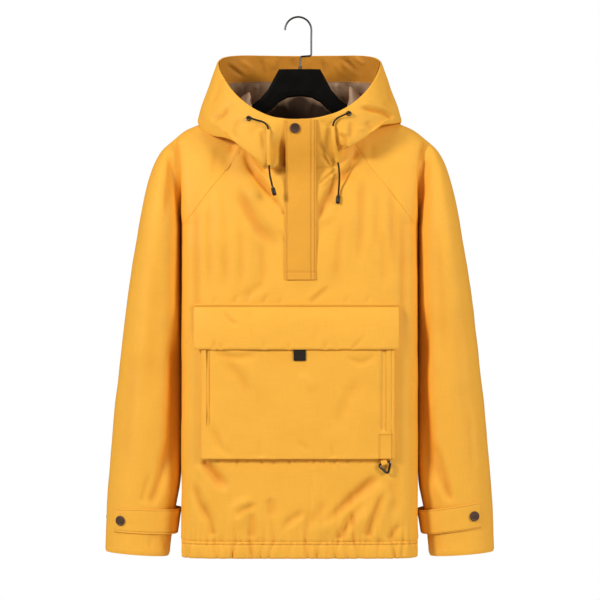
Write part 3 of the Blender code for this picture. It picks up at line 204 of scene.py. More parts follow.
# ---------------------------------------------------------------- creases
@dataclass(frozen=True)
class Crease:
    """One soft ridge (height above 0) or trough (below 0), drawn on the front or the back.

    path is its line as (across, height) places; width is the half width; lean is
    the share of the height that swells the other way beside it, to the left of
    the path's way where it is above 0; ends are the shares over which it fades.
    """

    side: Side
    path: tuple[tuple[float, float], ...]
    width: float
    height: float
    lean: float = 0.0
    ends: tuple[float, float] = (0.3, 0.4)
    beside: float = 1.9
    flank: float = 1.3
    room: float = 3.2
    facing_full: float = 0.4
    drawn_steps: int = 25
    line_steps: int = 10

    def lift(self, points: np.ndarray, normals: np.ndarray) -> np.ndarray:
        """How far the crease moves each point out.

        Args:
            points: The points, n x 3.
            normals: Their outward ways, n x 3.

        Returns:
            One height for each point.
        """
        flat, toward = points[:, (0, 2)], normals[:, 1] * self.side
        curve = profile(np.arange(len(self.path)), self.path)
        line = evenly(curve(np.linspace(0, len(self.path) - 1, self.drawn_steps)), self.line_steps)
        lifted = np.zeros(len(points))
        room = self.room * self.width
        near = np.all((flat > line.min(axis=0) - room) & (flat < line.max(axis=0) + room), axis=1)
        near &= toward > 0
        if not near.any():
            return lifted
        flat = flat[near]
        best, signed, along = np.full(len(flat), np.inf), np.zeros(len(flat)), np.zeros(len(flat))
        for index, (start, end) in enumerate(zip(line, line[1:])):
            way = end - start
            t = np.clip((flat - start) @ way / max(way @ way, 1e-12), 0, 1)
            off = flat - (start + t[:, None] * way)
            distance = np.linalg.norm(off, axis=1)
            closer = distance < best
            turn = np.sign(way[0] * off[:, 1] - way[1] * off[:, 0])
            best = np.where(closer, distance, best)
            signed = np.where(closer, turn, signed)
            along = np.where(closer, (index + t) / (len(line) - 1), along)
        beside = (best * signed * np.sign(self.lean) - self.beside * self.width) / (self.flank * self.width)
        fade = ease(along / max(self.ends[0], 1e-3)) * ease((1 - along) / max(self.ends[1], 1e-3))
        shape = np.exp(-(best / self.width) ** 2) - abs(self.lean) * np.exp(-beside ** 2)
        lifted[near] = self.height * fade * ease(toward[near] / self.facing_full) * shape
        return lifted


def creases(side: Side, *rows: tuple[tuple[int, ...], ...]) -> tuple[Crease, ...]:
    """Creases drawn on one side, in tenths of a millimetre.

    Args:
        side: The side they are drawn on.
        rows: For each crease its shape, then its places as (across, height). The shape is its half width
            and its height and, where they aren't the usual ones, its lean and both ends in hundredths.

    Returns:
        The creases in order.
    """
    made = []
    for (width, height, *shares), *path in rows:
        lean, *ends = *shares, *(0, 30, 40)[len(shares):]
        made.append(Crease(side, metres(*path), width / PER_METRE, height / PER_METRE, lean / 100,
                           (ends[0] / 100, ends[1] / 100)))
    return tuple(made)


# ---------------------------------------------------------------- the garment's form
class ShoulderRow(NamedTuple):
    """A place on the shoulder line."""

    x: float
    z: float


class BodyRow(NamedTuple):
    """How deep the body is in front and behind at a height."""

    z: float
    front: float
    back: float


class Fold(NamedTuple):
    """A large soft fold of the body, from one end to the other."""

    x_top: float
    z_top: float
    x_foot: float
    z_foot: float
    half_width: float
    height: float


@dataclass
class BodyForm:
    """The rounded form that the body, the shoulders and the sewn on pieces follow."""

    side_x: float = 0.1955
    underarm_z: float = -0.360
    crease_foot_z: float = -0.345
    crease_top_z: float = -0.2023
    crease_depth: float = 0.034
    hem_top_z: float = -0.8660
    hem_z: float = -0.8940
    shoulder_radius: float = 0.026
    shoulder_round: float = 0.018
    fold_full_depth: float = 0.05
    fold_ends: tuple[float, float] = (0.3, 0.4)
    crease_power: float = 0.8
    arc_steps: int = 200
    section_steps: int = 1601
    section_z: float = -0.6
    chest_drop: float = 0.22
    roundness: float = 5.5
    neck_half_width: float = 0.0815
    neck_foot: dict[Side, float] = field(default_factory=lambda: {Side.FRONT: -0.2555, Side.BACK: -0.1650})
    neck_squareness: dict[Side, float] = field(default_factory=lambda: {Side.FRONT: 4.5, Side.BACK: 2.6})
    raglan_angle: dict[Side, float] = field(
        default_factory=lambda: {Side.FRONT: math.radians(60.0), Side.BACK: math.radians(118.0)})
    shoulder: tuple[ShoulderRow, ...] = named(
        ShoulderRow,
        (0, -1180), (600, -1340), (830, -1430), (1250, -1630), (1730, -1800), (1900, -1880), (2080, -2023),
        (2330, -2247))
    depths: tuple[BodyRow, ...] = named(
        BodyRow,
        (-8940, 780, 740), (-8400, 820, 780), (-7000, 880, 820), (-5000, 880, 820), (-3000, 840, 800),
        (-1500, 840, 780))
    crease_line: tuple[ShoulderRow, ...] = named(
        ShoulderRow,
        (1955, -3450), (1960, -2850), (1977, -2500), (2020, -2200), (2080, -2023), (2160, -1700))
    raglan: dict[Side, tuple[ShoulderRow, ...]] = field(default_factory=lambda: {
        Side.FRONT: named(
            ShoulderRow,
            (940, -2183), (1145, -2495), (1368, -2769), (1580, -3040), (1790, -3320), (1925, -3500),
            (1955, -3600)),
        Side.BACK: named(
            ShoulderRow,
            (1000, -1950), (1300, -2400), (1580, -2850), (1810, -3250), (1925, -3480), (1955, -3600))})
    folds: dict[Side, tuple[Fold, ...]] = field(default_factory=lambda: {
        Side.FRONT: named(
            Fold,
            (-1160, -1900, -1220, -2850, 130, -45), (-880, -2050, -400, -3200, 130, -55),
            (-700, -2800, -300, -4500, 200, -40), (980, -1950, 780, -3000, 140, -50),
            (740, -2350, 300, -4200, 170, -55), (-1550, -7310, -1180, -7850, 110, -50),
            (1460, -7680, 900, -8640, 120, 50), (1280, -7550, 500, -8640, 130, -40),
            (780, -7900, 280, -8640, 110, 35), (-800, -7900, -1120, -8500, 120, 35)),
        Side.BACK: named(
            Fold,
            (-700, -3200, -1100, -6400, 240, -60), (800, -3200, 1250, -6600, 240, -65),
            (100, -3800, -200, -8000, 280, 60), (700, -6000, 200, -8620, 200, -45),
            (-1200, -5800, -800, -8620, 200, 45))})

    def __post_init__(self) -> None:
        """Read the tables and lay out the neck seam."""
        self.shoulder_z = table(self.shoulder, "x", "z")
        self.depth_at = table(self.depths, "z", "front", "back")
        self.crease_x = table(self.crease_line, "z", "x")
        self.neck_arcs = {side: self._neck_arc(side) for side in Side}

    def fold_height(self, side: Side, x: np.ndarray, z: np.ndarray) -> np.ndarray:
        """Sum of the large folds at a place of the front or the back.

        Args:
            side: Front or back.
            x: Places across.
            z: Heights.

        Returns:
            How far the folds stand out there.
        """
        total = np.zeros(np.broadcast(x, z).shape)
        for fold in self.folds[side]:
            along = np.array([fold.x_foot - fold.x_top, fold.z_foot - fold.z_top])
            length = np.linalg.norm(along)
            along = along / length
            t = ((x - fold.x_top) * along[0] + (z - fold.z_top) * along[1]) / length
            across = (x - fold.x_top) * along[1] - (z - fold.z_top) * along[0]
            height = fold.height * ease(t / self.fold_ends[0]) * ease((1 - t) / self.fold_ends[1])
            total = total + height * np.exp(-(across / fold.half_width) ** 2)
        return total

    def depth(self, x: np.ndarray, z: np.ndarray, side: Side) -> np.ndarray:
        """How far the body stands out from the shoulder's plane, without its sign.

        Args:
            x: Places across.
            z: Heights.
            side: Front or back.

        Returns:
            The depths, never below zero.
        """
        x, z = np.abs(np.asarray(x, float)), np.asarray(z, float)
        drop = np.maximum(self.shoulder_z(x) - z, 0.0)
        full = self.depth_at(z)[..., 0 if side == Side.FRONT else 1]
        rounding = 1 - np.minimum(drop / self.shoulder_round, 1.0)
        swell = np.sin(math.pi / 2 * np.minimum(drop / self.chest_drop, 1.0))
        depth = self.shoulder_radius * np.sqrt(1 - rounding ** 2) + (full - self.shoulder_radius) * swell
        t = np.clip((self.crease_top_z - z) / (self.crease_top_z - self.crease_foot_z), 0.0, 1.0)
        opening = self.crease_depth * (4 * t * (1 - t)) ** self.crease_power
        edge = np.clip(x / self.crease_x(z), 0.0, 1.0)
        rounded = (1 - edge ** self.roundness) ** (1 / self.roundness)
        return opening + np.maximum(depth - opening, 0.0) * rounded

    def point(self, x: np.ndarray, z: np.ndarray, side: Side, lift: np.ndarray = 0.0) -> np.ndarray:
        """A point of the body's outer surface, moved out by lift.

        Args:
            x: Places across.
            z: Heights.
            side: Front or back.
            lift: How far out of the surface.

        Returns:
            The points.
        """
        x, z = np.broadcast_arrays(np.asarray(x, float), np.asarray(z, float))
        depth = self.depth(x, z, side)
        depth = depth + self.fold_height(side, x, z) * ease(depth / self.fold_full_depth) + lift
        return np.stack([x, side * depth, z], axis=-1)

    def neck_z(self, x: np.ndarray, side: Side) -> np.ndarray:
        """Height of the neck seam over a place across the body.

        Args:
            x: Places across.
            side: Front or back.

        Returns:
            The heights.
        """
        power = self.neck_squareness[side]
        top = self.shoulder_z(self.neck_half_width)
        share = np.clip(np.abs(x) / self.neck_half_width, 0, 1)
        return top + (self.neck_foot[side] - top) * (1 - share ** power) ** (1 / power)

    def _neck_arc(self, side: Side) -> np.ndarray:
        """Places at even steps along half the neck seam, from its middle.

        Args:
            side: Front or back.

        Returns:
            The places, each as x and height, from the middle outward.
        """
        turns = np.linspace(0, math.pi / 2, 3 * self.arc_steps)
        x = self.neck_half_width * np.sin(turns) ** (2 / self.neck_squareness[side])
        return evenly(np.stack([x, self.neck_z(x, side)], axis=1), self.arc_steps)

    def neck_point(self, angle: np.ndarray) -> np.ndarray:
        """A point evenly along the neck seam; 0 is the centre front, pi the centre back.

        Args:
            angle: Angles from -pi to pi, above zero on the right half.

        Returns:
            The points.
        """
        angle = np.asarray(angle, float)
        turn = np.abs(angle)
        points = []
        for side, share in ((Side.FRONT, 2 * turn / math.pi), (Side.BACK, 2 - 2 * turn / math.pi)):
            spots = np.clip(share, 0, 1) * self.arc_steps
            x, z = np.moveaxis(read_rows(spots, np.arange(self.arc_steps + 1), self.neck_arcs[side]), -1, 0)
            points.append(self.point(np.sign(angle) * x, z, side))
        return np.where((turn <= math.pi / 2)[..., None], *points)

    def raglan_seam(self, side: Side, hand: Hand, count: int) -> np.ndarray:
        """One raglan seam from the neck to the underarm, at even steps.

        Args:
            side: Front or back.
            hand: Left or right.
            count: How many points.

        Returns:
            The points, the neck first.
        """
        start = self.neck_point(self.raglan_angle[side])
        rows = self.raglan[side]
        xs, zs = [start[0]] + [row.x for row in rows], [start[2]] + [row.z for row in rows]
        curve = profile(np.arange(len(xs)), np.stack([xs, zs], axis=1))
        dense = curve(np.linspace(0, len(xs) - 1, 2 * self.arc_steps))
        points = self.point(hand * np.minimum(dense[:, 0], self.side_x), dense[:, 1], side)
        points[-1] = (hand * self.side_x, 0.0, self.underarm_z)
        return evenly(points, count)

    def level(self, z: float, side: Side) -> np.ndarray:
        """A level line over one side of the body, as places across and depths."""
        x = np.linspace(-1, 1, self.section_steps) * self.side_x
        return np.stack([x, self.depth(x, np.full_like(x, z), side)], axis=1)

    def section(self, step: float) -> np.ndarray:
        """Places across a panel at even cloth distances, as shares of its half width from -1 to 1."""
        line = self.level(self.section_z, Side.FRONT)
        return read_line(line, stations(reach_along(line)[-1], step))[:, 0] / self.side_x


FORM = BodyForm()


# ---------------------------------------------------------------- sheets of cloth
class Wave(NamedTuple):
    """A pattern of slow swells: their usual distance, their height and the seed that moves them."""

    scale: float
    amount: float
    seed: float


WALL_GAP = 0.0002  # m by which a wall is thinner than the height its piece stands at
BODY_WAVES = (Wave(0.075, 0.0011, 3.1), Wave(0.028, 0.00045, 7.7))


@dataclass
class Sheet:
    """A grid of points over one cut piece, and the thin wall made from it.

    points is rows x columns x 3. A wrapped sheet closes on itself along its
    columns. holes are (row, column) cells that are left open.
    """

    name: str
    points: np.ndarray
    thickness: float
    wrapped: bool = False
    facing: tuple[float, float, float] | None = None
    holes: frozenset[tuple[int, int]] = frozenset()
    sharp: float = 70.0
    # bend is how far each point was pressed out; the cloth finishes paint shade where it is below 0, and the
    # hood's facing and lining rewrite it as painted shade.
    bend: np.ndarray = field(init=False)

    def __post_init__(self) -> None:
        """Lay out the cloth's own coordinates before anything creases it."""
        self.points = np.array(self.points, float)
        self.bend = np.zeros(self.points.shape[:2])
        middle_row, middle_column = self.points.shape[0] // 2, self.points.shape[1] // 2
        self.across = reach_along(self.points[middle_row])
        self.down = reach_along(self.points[:, middle_column])

    def normals(self) -> np.ndarray:
        """Unit normals that point out of the garment.

        Returns:
            One unit normal for each point of the grid.
        """
        points = self.points
        if self.wrapped:
            across = np.roll(points, -1, axis=1) - np.roll(points, 1, axis=1)
        else:
            across = np.gradient(points, axis=1)
        normals = np.cross(np.gradient(points, axis=0), across)
        normals /= np.maximum(np.linalg.norm(normals, axis=2, keepdims=True), 1e-12)
        away = points - points.mean(axis=(0, 1)) if self.facing is None else np.asarray(self.facing, float)
        return normals if np.sum(normals * away) > 0 else -normals

    def push(self, heights: np.ndarray) -> "Sheet":
        """Move every point out by its own height.

        Args:
            heights: One height for each point.

        Returns:
            The sheet.
        """
        self.points = self.points + self.normals() * heights[..., None]
        self.bend = self.bend + heights
        return self

    def crease(self, drawn: Sequence[Crease]) -> "Sheet":
        """Press the creases into the sheet, one over the other.

        Args:
            drawn: The creases.

        Returns:
            The sheet.
        """
        points, normals = self.points.reshape(-1, 3), self.normals().reshape(-1, 3)
        total = np.zeros(len(points))
        for crease in drawn:
            total += crease.lift(points, normals)
        return self.push(total.reshape(self.points.shape[:2]))

    def unevenness(self, *waves: Wave, shift: float = 0.0) -> "Sheet":
        """Give the sheet the slow unevenness of real cloth.

        Args:
            waves: The patterns of swells, one over the other.
            shift: Added to their seeds.

        Returns:
            The sheet.
        """
        for scale, amount, seed in waves:
            moved = self.points.reshape(-1, 3) / scale + (seed + shift) * np.array([1, 2, 3])
            heights = amount * np.array([noise.noise(Vector(point)) for point in moved])
            self.push(heights.reshape(self.points.shape[:2]))
        return self

    def hold(self, before: np.ndarray, share: np.ndarray) -> "Sheet":
        """Take back what was pressed into the sheet where its share is below 1.

        Args:
            before: The points as they were.
            share: How much of the change stays, 0 to 1.

        Returns:
            The sheet.
        """
        self.points = before + (self.points - before) * share[..., None]
        self.bend = self.bend * share
        return self

    def ways(self, axis: int) -> tuple[np.ndarray, np.ndarray]:
        """The reach that places a line along a row (axis 0) or a column (1), and the reach it runs in."""
        return (self.down, self.across) if axis == 0 else (self.across, self.down)

    def groove(self, axis: int, place: float, depth: float = 0.0010, width: float = 0.0012,
               end: float = math.inf) -> "Sheet":
        """Sink a stitch line into the sheet.

        Args:
            axis: 0 for a line along a row, 1 for one along a column.
            place: Its distance from the first row or column.
            depth: How deep it sinks.
            width: Its half width.
            end: Where along the row or column it ends.

        Returns:
            The sheet.
        """
        reach, run = self.ways(axis)
        sunk = -depth * np.exp(-((reach - place) / width) ** 2)
        shape = sunk[:, None] * (run < end)[None, :]
        return self.push(shape if axis == 0 else shape.T)

    def roll(self, edges: str, width: float, depth: float) -> "Sheet":
        """Turn edges in, as a seam or a folded edge does.

        Args:
            edges: Any of the words top, bottom, left and right, in the order they are turned.
            width: How far from the edge the turn starts.
            depth: How far in the edge goes.

        Returns:
            The sheet.
        """
        for edge in edges.split():
            level = edge in ("top", "bottom")
            reach = self.down if level else self.across
            from_edge = reach if edge in ("top", "left") else reach[-1] - reach
            t = np.clip(1 - from_edge / width, 0, 1)
            sunk = -depth * (1 - np.sqrt(1 - t ** 2))
            self.push(np.broadcast_to(sunk[:, None] if level else sunk[None, :], self.bend.shape))
        return self

    def line(self, axis: int, place: float, start: float = 0.0, end: float = math.inf) -> np.ndarray:
        """Points and normals along a stitch line, as n x 6.

        Args:
            axis: 0 for a line along a row, 1 for one along a column.
            place: Its distance from the first row or column.
            start: Where it starts along the row or column.
            end: Where it ends.

        Returns:
            One row of point and normal for each grid place.
        """
        both = np.concatenate([self.points, self.normals()], axis=2)
        reach, run = self.ways(axis)
        index = int(np.clip(np.searchsorted(reach, place), 1, len(reach) - 1))
        t = (place - reach[index - 1]) / max(reach[index] - reach[index - 1], 1e-9)
        first = both[index - 1] if axis == 0 else both[:, index - 1]
        second = both[index] if axis == 0 else both[:, index]
        kept = (run >= start) & (run <= end)
        return (first + (second - first) * t)[kept]

    def build(self, finish: "Finish") -> bpy.types.Object:
        """Make the wall: outer skin, inner skin and the rims between them.

        Args:
            finish: The finish of the cloth.

        Returns:
            The new object, with its flat coordinates as a UV map and its bend as an attribute that drives
            painted shade.
        """
        rows, columns = self.points.shape[:2]
        span = columns if self.wrapped else columns - 1
        inner = self.points - self.normals() * self.thickness
        total = rows * columns
        index = np.arange(total).reshape(rows, columns)
        following = np.roll(index, -1, axis=1)[:, :span]
        quads = np.stack([index[:-1, :span], index[1:, :span], following[1:], following[:-1]], axis=-1)
        open_cell = np.zeros((rows - 1, span), bool)
        for row, column in self.holes:
            open_cell[row, column] = True
        solid = quads[~open_cell]
        faces = [solid, solid[:, ::-1] + total]
        edges = np.concatenate([solid[:, (0, 1)], solid[:, (1, 2)], solid[:, (2, 3)], solid[:, (3, 0)]])
        keys = edges[:, 0] * total + edges[:, 1]
        alone = ~np.isin(edges[:, 1] * total + edges[:, 0], keys)
        rim = edges[alone]
        faces.append(np.stack([rim[:, 1], rim[:, 0], rim[:, 0] + total, rim[:, 1] + total], axis=1))
        faces = np.concatenate(faces)
        used, renumbered = np.unique(faces, return_inverse=True)
        points = np.concatenate([self.points.reshape(-1, 3), inner.reshape(-1, 3)])[used]
        faces = renumbered.reshape(faces.shape)
        corner = points[faces]
        volume = np.einsum("ij,ij->i", corner[:, 0], np.cross(corner[:, 1], corner[:, 2])).sum()
        volume += np.einsum("ij,ij->i", corner[:, 0], np.cross(corner[:, 2], corner[:, 3])).sum()
        if volume < 0:
            faces = faces[:, ::-1]
        mesh = bpy.data.meshes.new(self.name)
        mesh.from_pydata((points + (CENTRE_X, 0, 0)).tolist(), [], faces.tolist())
        across, down = np.meshgrid(self.across, self.down)
        flat = np.stack([across, down], axis=-1).reshape(-1, 2)
        flat = np.concatenate([flat, flat])[used]
        layer = mesh.uv_layers.new(name="cloth")
        corners = np.empty(len(mesh.loops), np.int32)
        mesh.loops.foreach_get("vertex_index", corners)
        layer.data.foreach_set("uv", flat[corners].ravel())
        # The bend attribute drives painted shade: the cloth finishes paint troughs in their deep colour.
        bend = mesh.attributes.new("bend", "FLOAT", "POINT")
        depth = np.concatenate([self.bend.ravel(), self.bend.ravel()])[used]
        bend.data.foreach_set("value", depth.astype(np.float32))
        mesh.shade_smooth()
        mesh.set_sharp_from_angle(angle=math.radians(self.sharp))
        return dressed(self.name, mesh, finish)


def dressed(name: str, mesh: bpy.types.Mesh, finish: "Finish", body: str = BODY) -> bpy.types.Object:
    """Link a finished mesh that rides on a body and wears a finish.

    Args:
        name: The new object's name.
        mesh: Its mesh, with its place in its points.
        finish: The finish it wears.
        body: The body it rides on.

    Returns:
        The new object.
    """
    made = bpy.data.objects.new(name, mesh)
    bpy.context.scene.collection.objects.link(made)
    mesh.materials.clear()
    mesh.materials.append(finish.material())
    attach(made, body)
    log.info("%s: %d faces", name, len(mesh.polygons))
    return made


# ---------------------------------------------------------------- finishes
Colour = tuple[float, float, float]


class Graph:
    """A node tree that is filled one node at a time."""

    def __init__(self, tree: bpy.types.NodeTree) -> None:
        """Keep the tree that is filled."""
        self.tree = tree

    def feed(self, node: bpy.types.Node, inputs: dict) -> bpy.types.Node:
        """Give each input of a node, by name or number, a value or the socket that feeds it.

        Args:
            node: The node.
            inputs: Values and sockets by the name or number of the input.

        Returns:
            The node.
        """
        for name, value in inputs.items():
            if isinstance(value, bpy.types.NodeSocket):
                self.tree.links.new(value, node.inputs[name])
            else:
                node.inputs[name].default_value = value
        return node

    def add(self, kind: str, inputs: dict | None = None, **settings: object) -> bpy.types.Node:
        """Add a node.

        Args:
            kind: The node's type.
            inputs: What each input is fed with.
            settings: The node's own properties.

        Returns:
            The node.
        """
        node = self.tree.nodes.new(kind)
        for name, value in settings.items():
            setattr(node, name, value)
        return self.feed(node, inputs or {})

    def maths(self, operation: str, *values: object) -> bpy.types.NodeSocket:
        """The result of a Math node over one, two or three values or sockets."""
        return self.add("ShaderNodeMath", dict(enumerate(values)), operation=operation).outputs[0]

    def span(self, value: bpy.types.NodeSocket, source: tuple[float, float],
             target: tuple[float, float] = (0.0, 1.0)) -> bpy.types.NodeSocket:
        """A value in the source range turned into one in the target range, and held there."""
        ends = {"From Min": source[0], "From Max": source[1], "To Min": target[0], "To Max": target[1]}
        return self.add("ShaderNodeMapRange", {"Value": value, **ends}, clamp=True).outputs["Result"]

    def mix(self, factor: object, first: object, second: object, blend: str = "MIX") -> bpy.types.NodeSocket:
        """Two colours mixed by a factor.

        Args:
            factor: Share of the second colour.
            first: A colour or a socket.
            second: A colour or a socket.
            blend: How the second lies on the first.

        Returns:
            The mixed colour.
        """
        first, second = ((*given, 1.0) if isinstance(given, tuple) else given for given in (first, second))
        inputs = {0: factor, 6: first, 7: second}
        return self.add("ShaderNodeMix", inputs, data_type="RGBA", blend_type=blend).outputs[2]

    def noise(self, vector: bpy.types.NodeSocket, scale: object, detail: float,
              **more: float) -> bpy.types.NodeSocket:
        """The value of a noise texture."""
        inputs = {"Vector": vector, "Scale": scale, "Detail": detail, **more}
        return self.add("ShaderNodeTexNoise", inputs).outputs[0]

    def bump(self, height: bpy.types.NodeSocket, strength: float, distance: float) -> bpy.types.NodeSocket:
        """A normal that a height bends."""
        inputs = {"Height": height, "Strength": strength, "Distance": distance}
        return self.add("ShaderNodeBump", inputs).outputs[0]


class Patterns:
    """Shader node groups that several finishes share, each built once."""

    @staticmethod
    def start(name: str, number: str,
              outputs: Sequence[str]) -> tuple[Graph, bpy.types.Node, bpy.types.Node] | None:
        """A new group with its sockets, or None where it is already there.

        Args:
            name: The group's name.
            number: The name of the number it takes beside its Vector.
            outputs: Names of the outputs, all numbers.

        Returns:
            The graph, the group's input node and its output node.
        """
        if name in bpy.data.node_groups:
            return None
        tree = bpy.data.node_groups.new(name, "ShaderNodeTree")
        for label, kind in (("Vector", "NodeSocketVector"), (number, "NodeSocketFloat")):
            tree.interface.new_socket(label, in_out="INPUT", socket_type=kind)
        for label in outputs:
            tree.interface.new_socket(label, in_out="OUTPUT", socket_type="NodeSocketFloat")
        graph = Graph(tree)
        return graph, graph.add("NodeGroupInput"), graph.add("NodeGroupOutput")

    @classmethod
    def weave(cls) -> bpy.types.NodeTree:
        """Crossing threads, their uneven thickness, and a slow mottle.

        Returns:
            The node group.
        """
        made = cls.start("weave", "Pitch", ["Height", "Slub", "Mottle"])
        if made:
            graph, given, result = made
            vector = given.outputs["Vector"]
            apart = graph.add("ShaderNodeSeparateXYZ", {0: vector})
            turns = graph.maths("DIVIDE", 2 * math.pi, given.outputs["Pitch"])
            warp = graph.maths("SINE", graph.maths("MULTIPLY", apart.outputs[0], turns))
            weft = graph.maths("SINE", graph.maths("MULTIPLY", apart.outputs[1], turns))
            slubs = []
            for scale in ((900.0, 34.0, 1.0), (30.0, 800.0, 1.0)):
                placed = graph.add("ShaderNodeMapping", {"Vector": vector, "Scale": scale})
                slubs.append(graph.noise(placed.outputs[0], 1.0, 2.0))
            graph.feed(result, {"Mottle": graph.noise(vector, 14.0, 3.0),
                                "Height": graph.maths("MULTIPLY", warp, weft),
                                "Slub": graph.maths("MULTIPLY", graph.maths("ADD", *slubs), 0.5)})
        return bpy.data.node_groups["weave"]

    @classmethod
    def grain(cls) -> bpy.types.NodeTree:
        """Fine moulded or cast grain, with a slower smudge over it.

        Returns:
            The node group.
        """
        made = cls.start("grain", "Scale", ["Grain", "Smudge"])
        if made:
            graph, given, result = made
            vector = given.outputs["Vector"]
            graph.feed(result, {"Grain": graph.noise(vector, given.outputs["Scale"], 4.0),
                                "Smudge": graph.noise(vector, 45.0, 3.0)})
        return bpy.data.node_groups["grain"]


@dataclass(frozen=True)
class Finish:
    """What a surface is finished with. slot is the record's material slot; nothing in this script reads it.
    """

    name: str
    slot: str

    def material(self) -> bpy.types.Material:
        """The finish as a material, made once.

        Returns:
            The material.
        """
        made = bpy.data.materials.get(f"{self.name}_finish")
        if made is None:
            made = bpy.data.materials.new(f"{self.name}_finish")
            made.use_nodes = True
            self.dress(Graph(made.node_tree), made.node_tree.nodes["Principled BSDF"])
        return made

    def dress(self, graph: Graph, shader: bpy.types.Node) -> None:
        """Feed the shader. Each kind of finish does this in its own way."""
        raise NotImplementedError


@dataclass(frozen=True)
class ClothFinish(Finish):
    """Woven cloth: colour, painted shade in its troughs (the deep colour, read from the bend attribute),
    threads and slubs.
    """

    colour: Colour
    # deep is painted shade: the colour that troughs are painted in, standing for the shade that falls in
    # them.
    deep: Colour
    roughness: float = 0.62
    sheen: float = 0.15
    wrinkle: float = 0.5
    pitch: float = 0.0007
    # trough is the span of bend, from full to none, over which the painted shade of the deep colour fades in.
    trough: tuple[float, float] = (-0.0060, -0.0004)
    slub_share: float = 0.6
    uneven: tuple[float, float] = (0.30, 0.70)
    tones: tuple[float, float] = (0.93, 1.05)
    duller: float = 0.05
    rougher: float = 0.06
    wrinkle_scale: float = 42.0
    slub_height: float = 0.10
    thread_height: float = 0.035
    relief: tuple[float, float] = (0.35, 0.0022)
    specular: float = 0.30

    def dress(self, graph: Graph, shader: bpy.types.Node) -> None:
        """Threads and fine wrinkles in the normal; slubs, mottle and painted shade in the troughs in the
        colour.

        Args:
            graph: The material's node graph.
            shader: The shader that its sockets feed.
        """
        flat = graph.add("ShaderNodeTexCoord").outputs["UV"]
        solid = graph.add("ShaderNodeTexCoord").outputs["Object"]
        weave = graph.add("ShaderNodeGroup", node_tree=Patterns.weave())
        graph.feed(weave, {"Vector": flat, "Pitch": self.pitch})
        slub, mottle = weave.outputs["Slub"], weave.outputs["Mottle"]
        # Painted shade: the deeper a point was pressed in, the more it takes the deep colour.
        bend = graph.add("ShaderNodeAttribute", attribute_name="bend").outputs["Fac"]
        colour = graph.mix(graph.span(bend, self.trough, (1.0, 0.0)), self.colour, self.deep)
        uneven = graph.maths("ADD", graph.maths("MULTIPLY", slub, self.slub_share),
                             graph.maths("MULTIPLY", mottle, 1.0 - self.slub_share))
        tone = graph.span(uneven, self.uneven, self.tones)
        toned = graph.add("ShaderNodeCombineColor", {0: tone, 1: tone, 2: tone}).outputs[0]
        wrinkle = graph.noise(solid, self.wrinkle_scale, 4.0, Roughness=0.45)
        height = graph.maths("MULTIPLY", slub, self.slub_height)
        height = graph.maths("MULTIPLY_ADD", wrinkle, self.wrinkle, height)
        height = graph.maths("MULTIPLY_ADD", weave.outputs["Height"], self.thread_height, height)
        glosses = (self.roughness - self.duller, self.roughness + self.rougher)
        graph.feed(shader, {
            "Base Color": graph.mix(1.0, colour, toned, "MULTIPLY"),
            "Roughness": graph.span(mottle, self.uneven, glosses), "Normal": graph.bump(height, *self.relief),
            "Sheen Weight": self.sheen, "Sheen Roughness": 0.5, "Sheen Tint": (*self.colour, 1.0),
            "Specular IOR Level": self.specular})


@dataclass(frozen=True)
class GrainFinish(Finish):
    """Moulded plastic, lacquered metal or wire, with grain and smudges."""

    colour: Colour
    worn: Colour
    roughness: float = 0.45
    metallic: float = 0.0
    scale: float = 900.0
    relief: float = 0.10
    coat: float = 0.0
    specular: float = 0.5
    smudges: tuple[float, float] = (0.45, 0.75)
    uneven: tuple[float, float] = (0.3, 0.7)
    duller: float = 0.07
    rougher: float = 0.09
    depth: float = 0.0005

    def dress(self, graph: Graph, shader: bpy.types.Node) -> None:
        """Grain in the normal, smudges in the colour and the gloss.

        Args:
            graph: The material's node graph.
            shader: The shader that its sockets feed.
        """
        solid = graph.add("ShaderNodeTexCoord").outputs["Object"]
        grain = graph.add("ShaderNodeGroup", node_tree=Patterns.grain())
        graph.feed(grain, {"Vector": solid, "Scale": self.scale})
        smudge = grain.outputs["Smudge"]
        glosses = (self.roughness - self.duller, self.roughness + self.rougher)
        graph.feed(shader, {
            "Base Color": graph.mix(graph.span(smudge, self.smudges), self.colour, self.worn),
            "Roughness": graph.span(smudge, self.uneven, glosses),
            "Normal": graph.bump(grain.outputs["Grain"], self.relief, self.depth),
            "Metallic": self.metallic, "Coat Weight": self.coat, "Specular IOR Level": self.specular})


@dataclass(frozen=True)
class BraidFinish(Finish):
    """A braided cord or a woven tape: yarns that cross at an angle, read along its UV map."""

    colour: Colour = (0.010, 0.006, 0.004)
    raised: Colour = (0.026, 0.017, 0.011)
    yarn: float = 0.0012
    roughness: float = 0.6
    high: tuple[float, float] = (-0.6, 0.8)
    relief: tuple[float, float] = (0.5, 0.0003)
    specular: float = 0.25

    def dress(self, graph: Graph, shader: bpy.types.Node) -> None:
        """Crossing yarns in the colour and the normal.

        Args:
            graph: The material's node graph.
            shader: The shader that its sockets feed.
        """
        flat = graph.add("ShaderNodeTexCoord").outputs["UV"]
        apart = graph.add("ShaderNodeSeparateXYZ", {0: flat})
        turns = 2 * math.pi / self.yarn
        yarns = [graph.maths("SINE", graph.maths("MULTIPLY", graph.maths(way, *apart.outputs[:2]), turns))
                 for way in ("ADD", "SUBTRACT")]
        height = graph.maths("MULTIPLY", *yarns)
        graph.feed(shader, {
            "Base Color": graph.mix(graph.span(height, self.high), self.colour, self.raised),
            "Normal": graph.bump(height, *self.relief), "Roughness": self.roughness,
            "Specular IOR Level": self.specular})
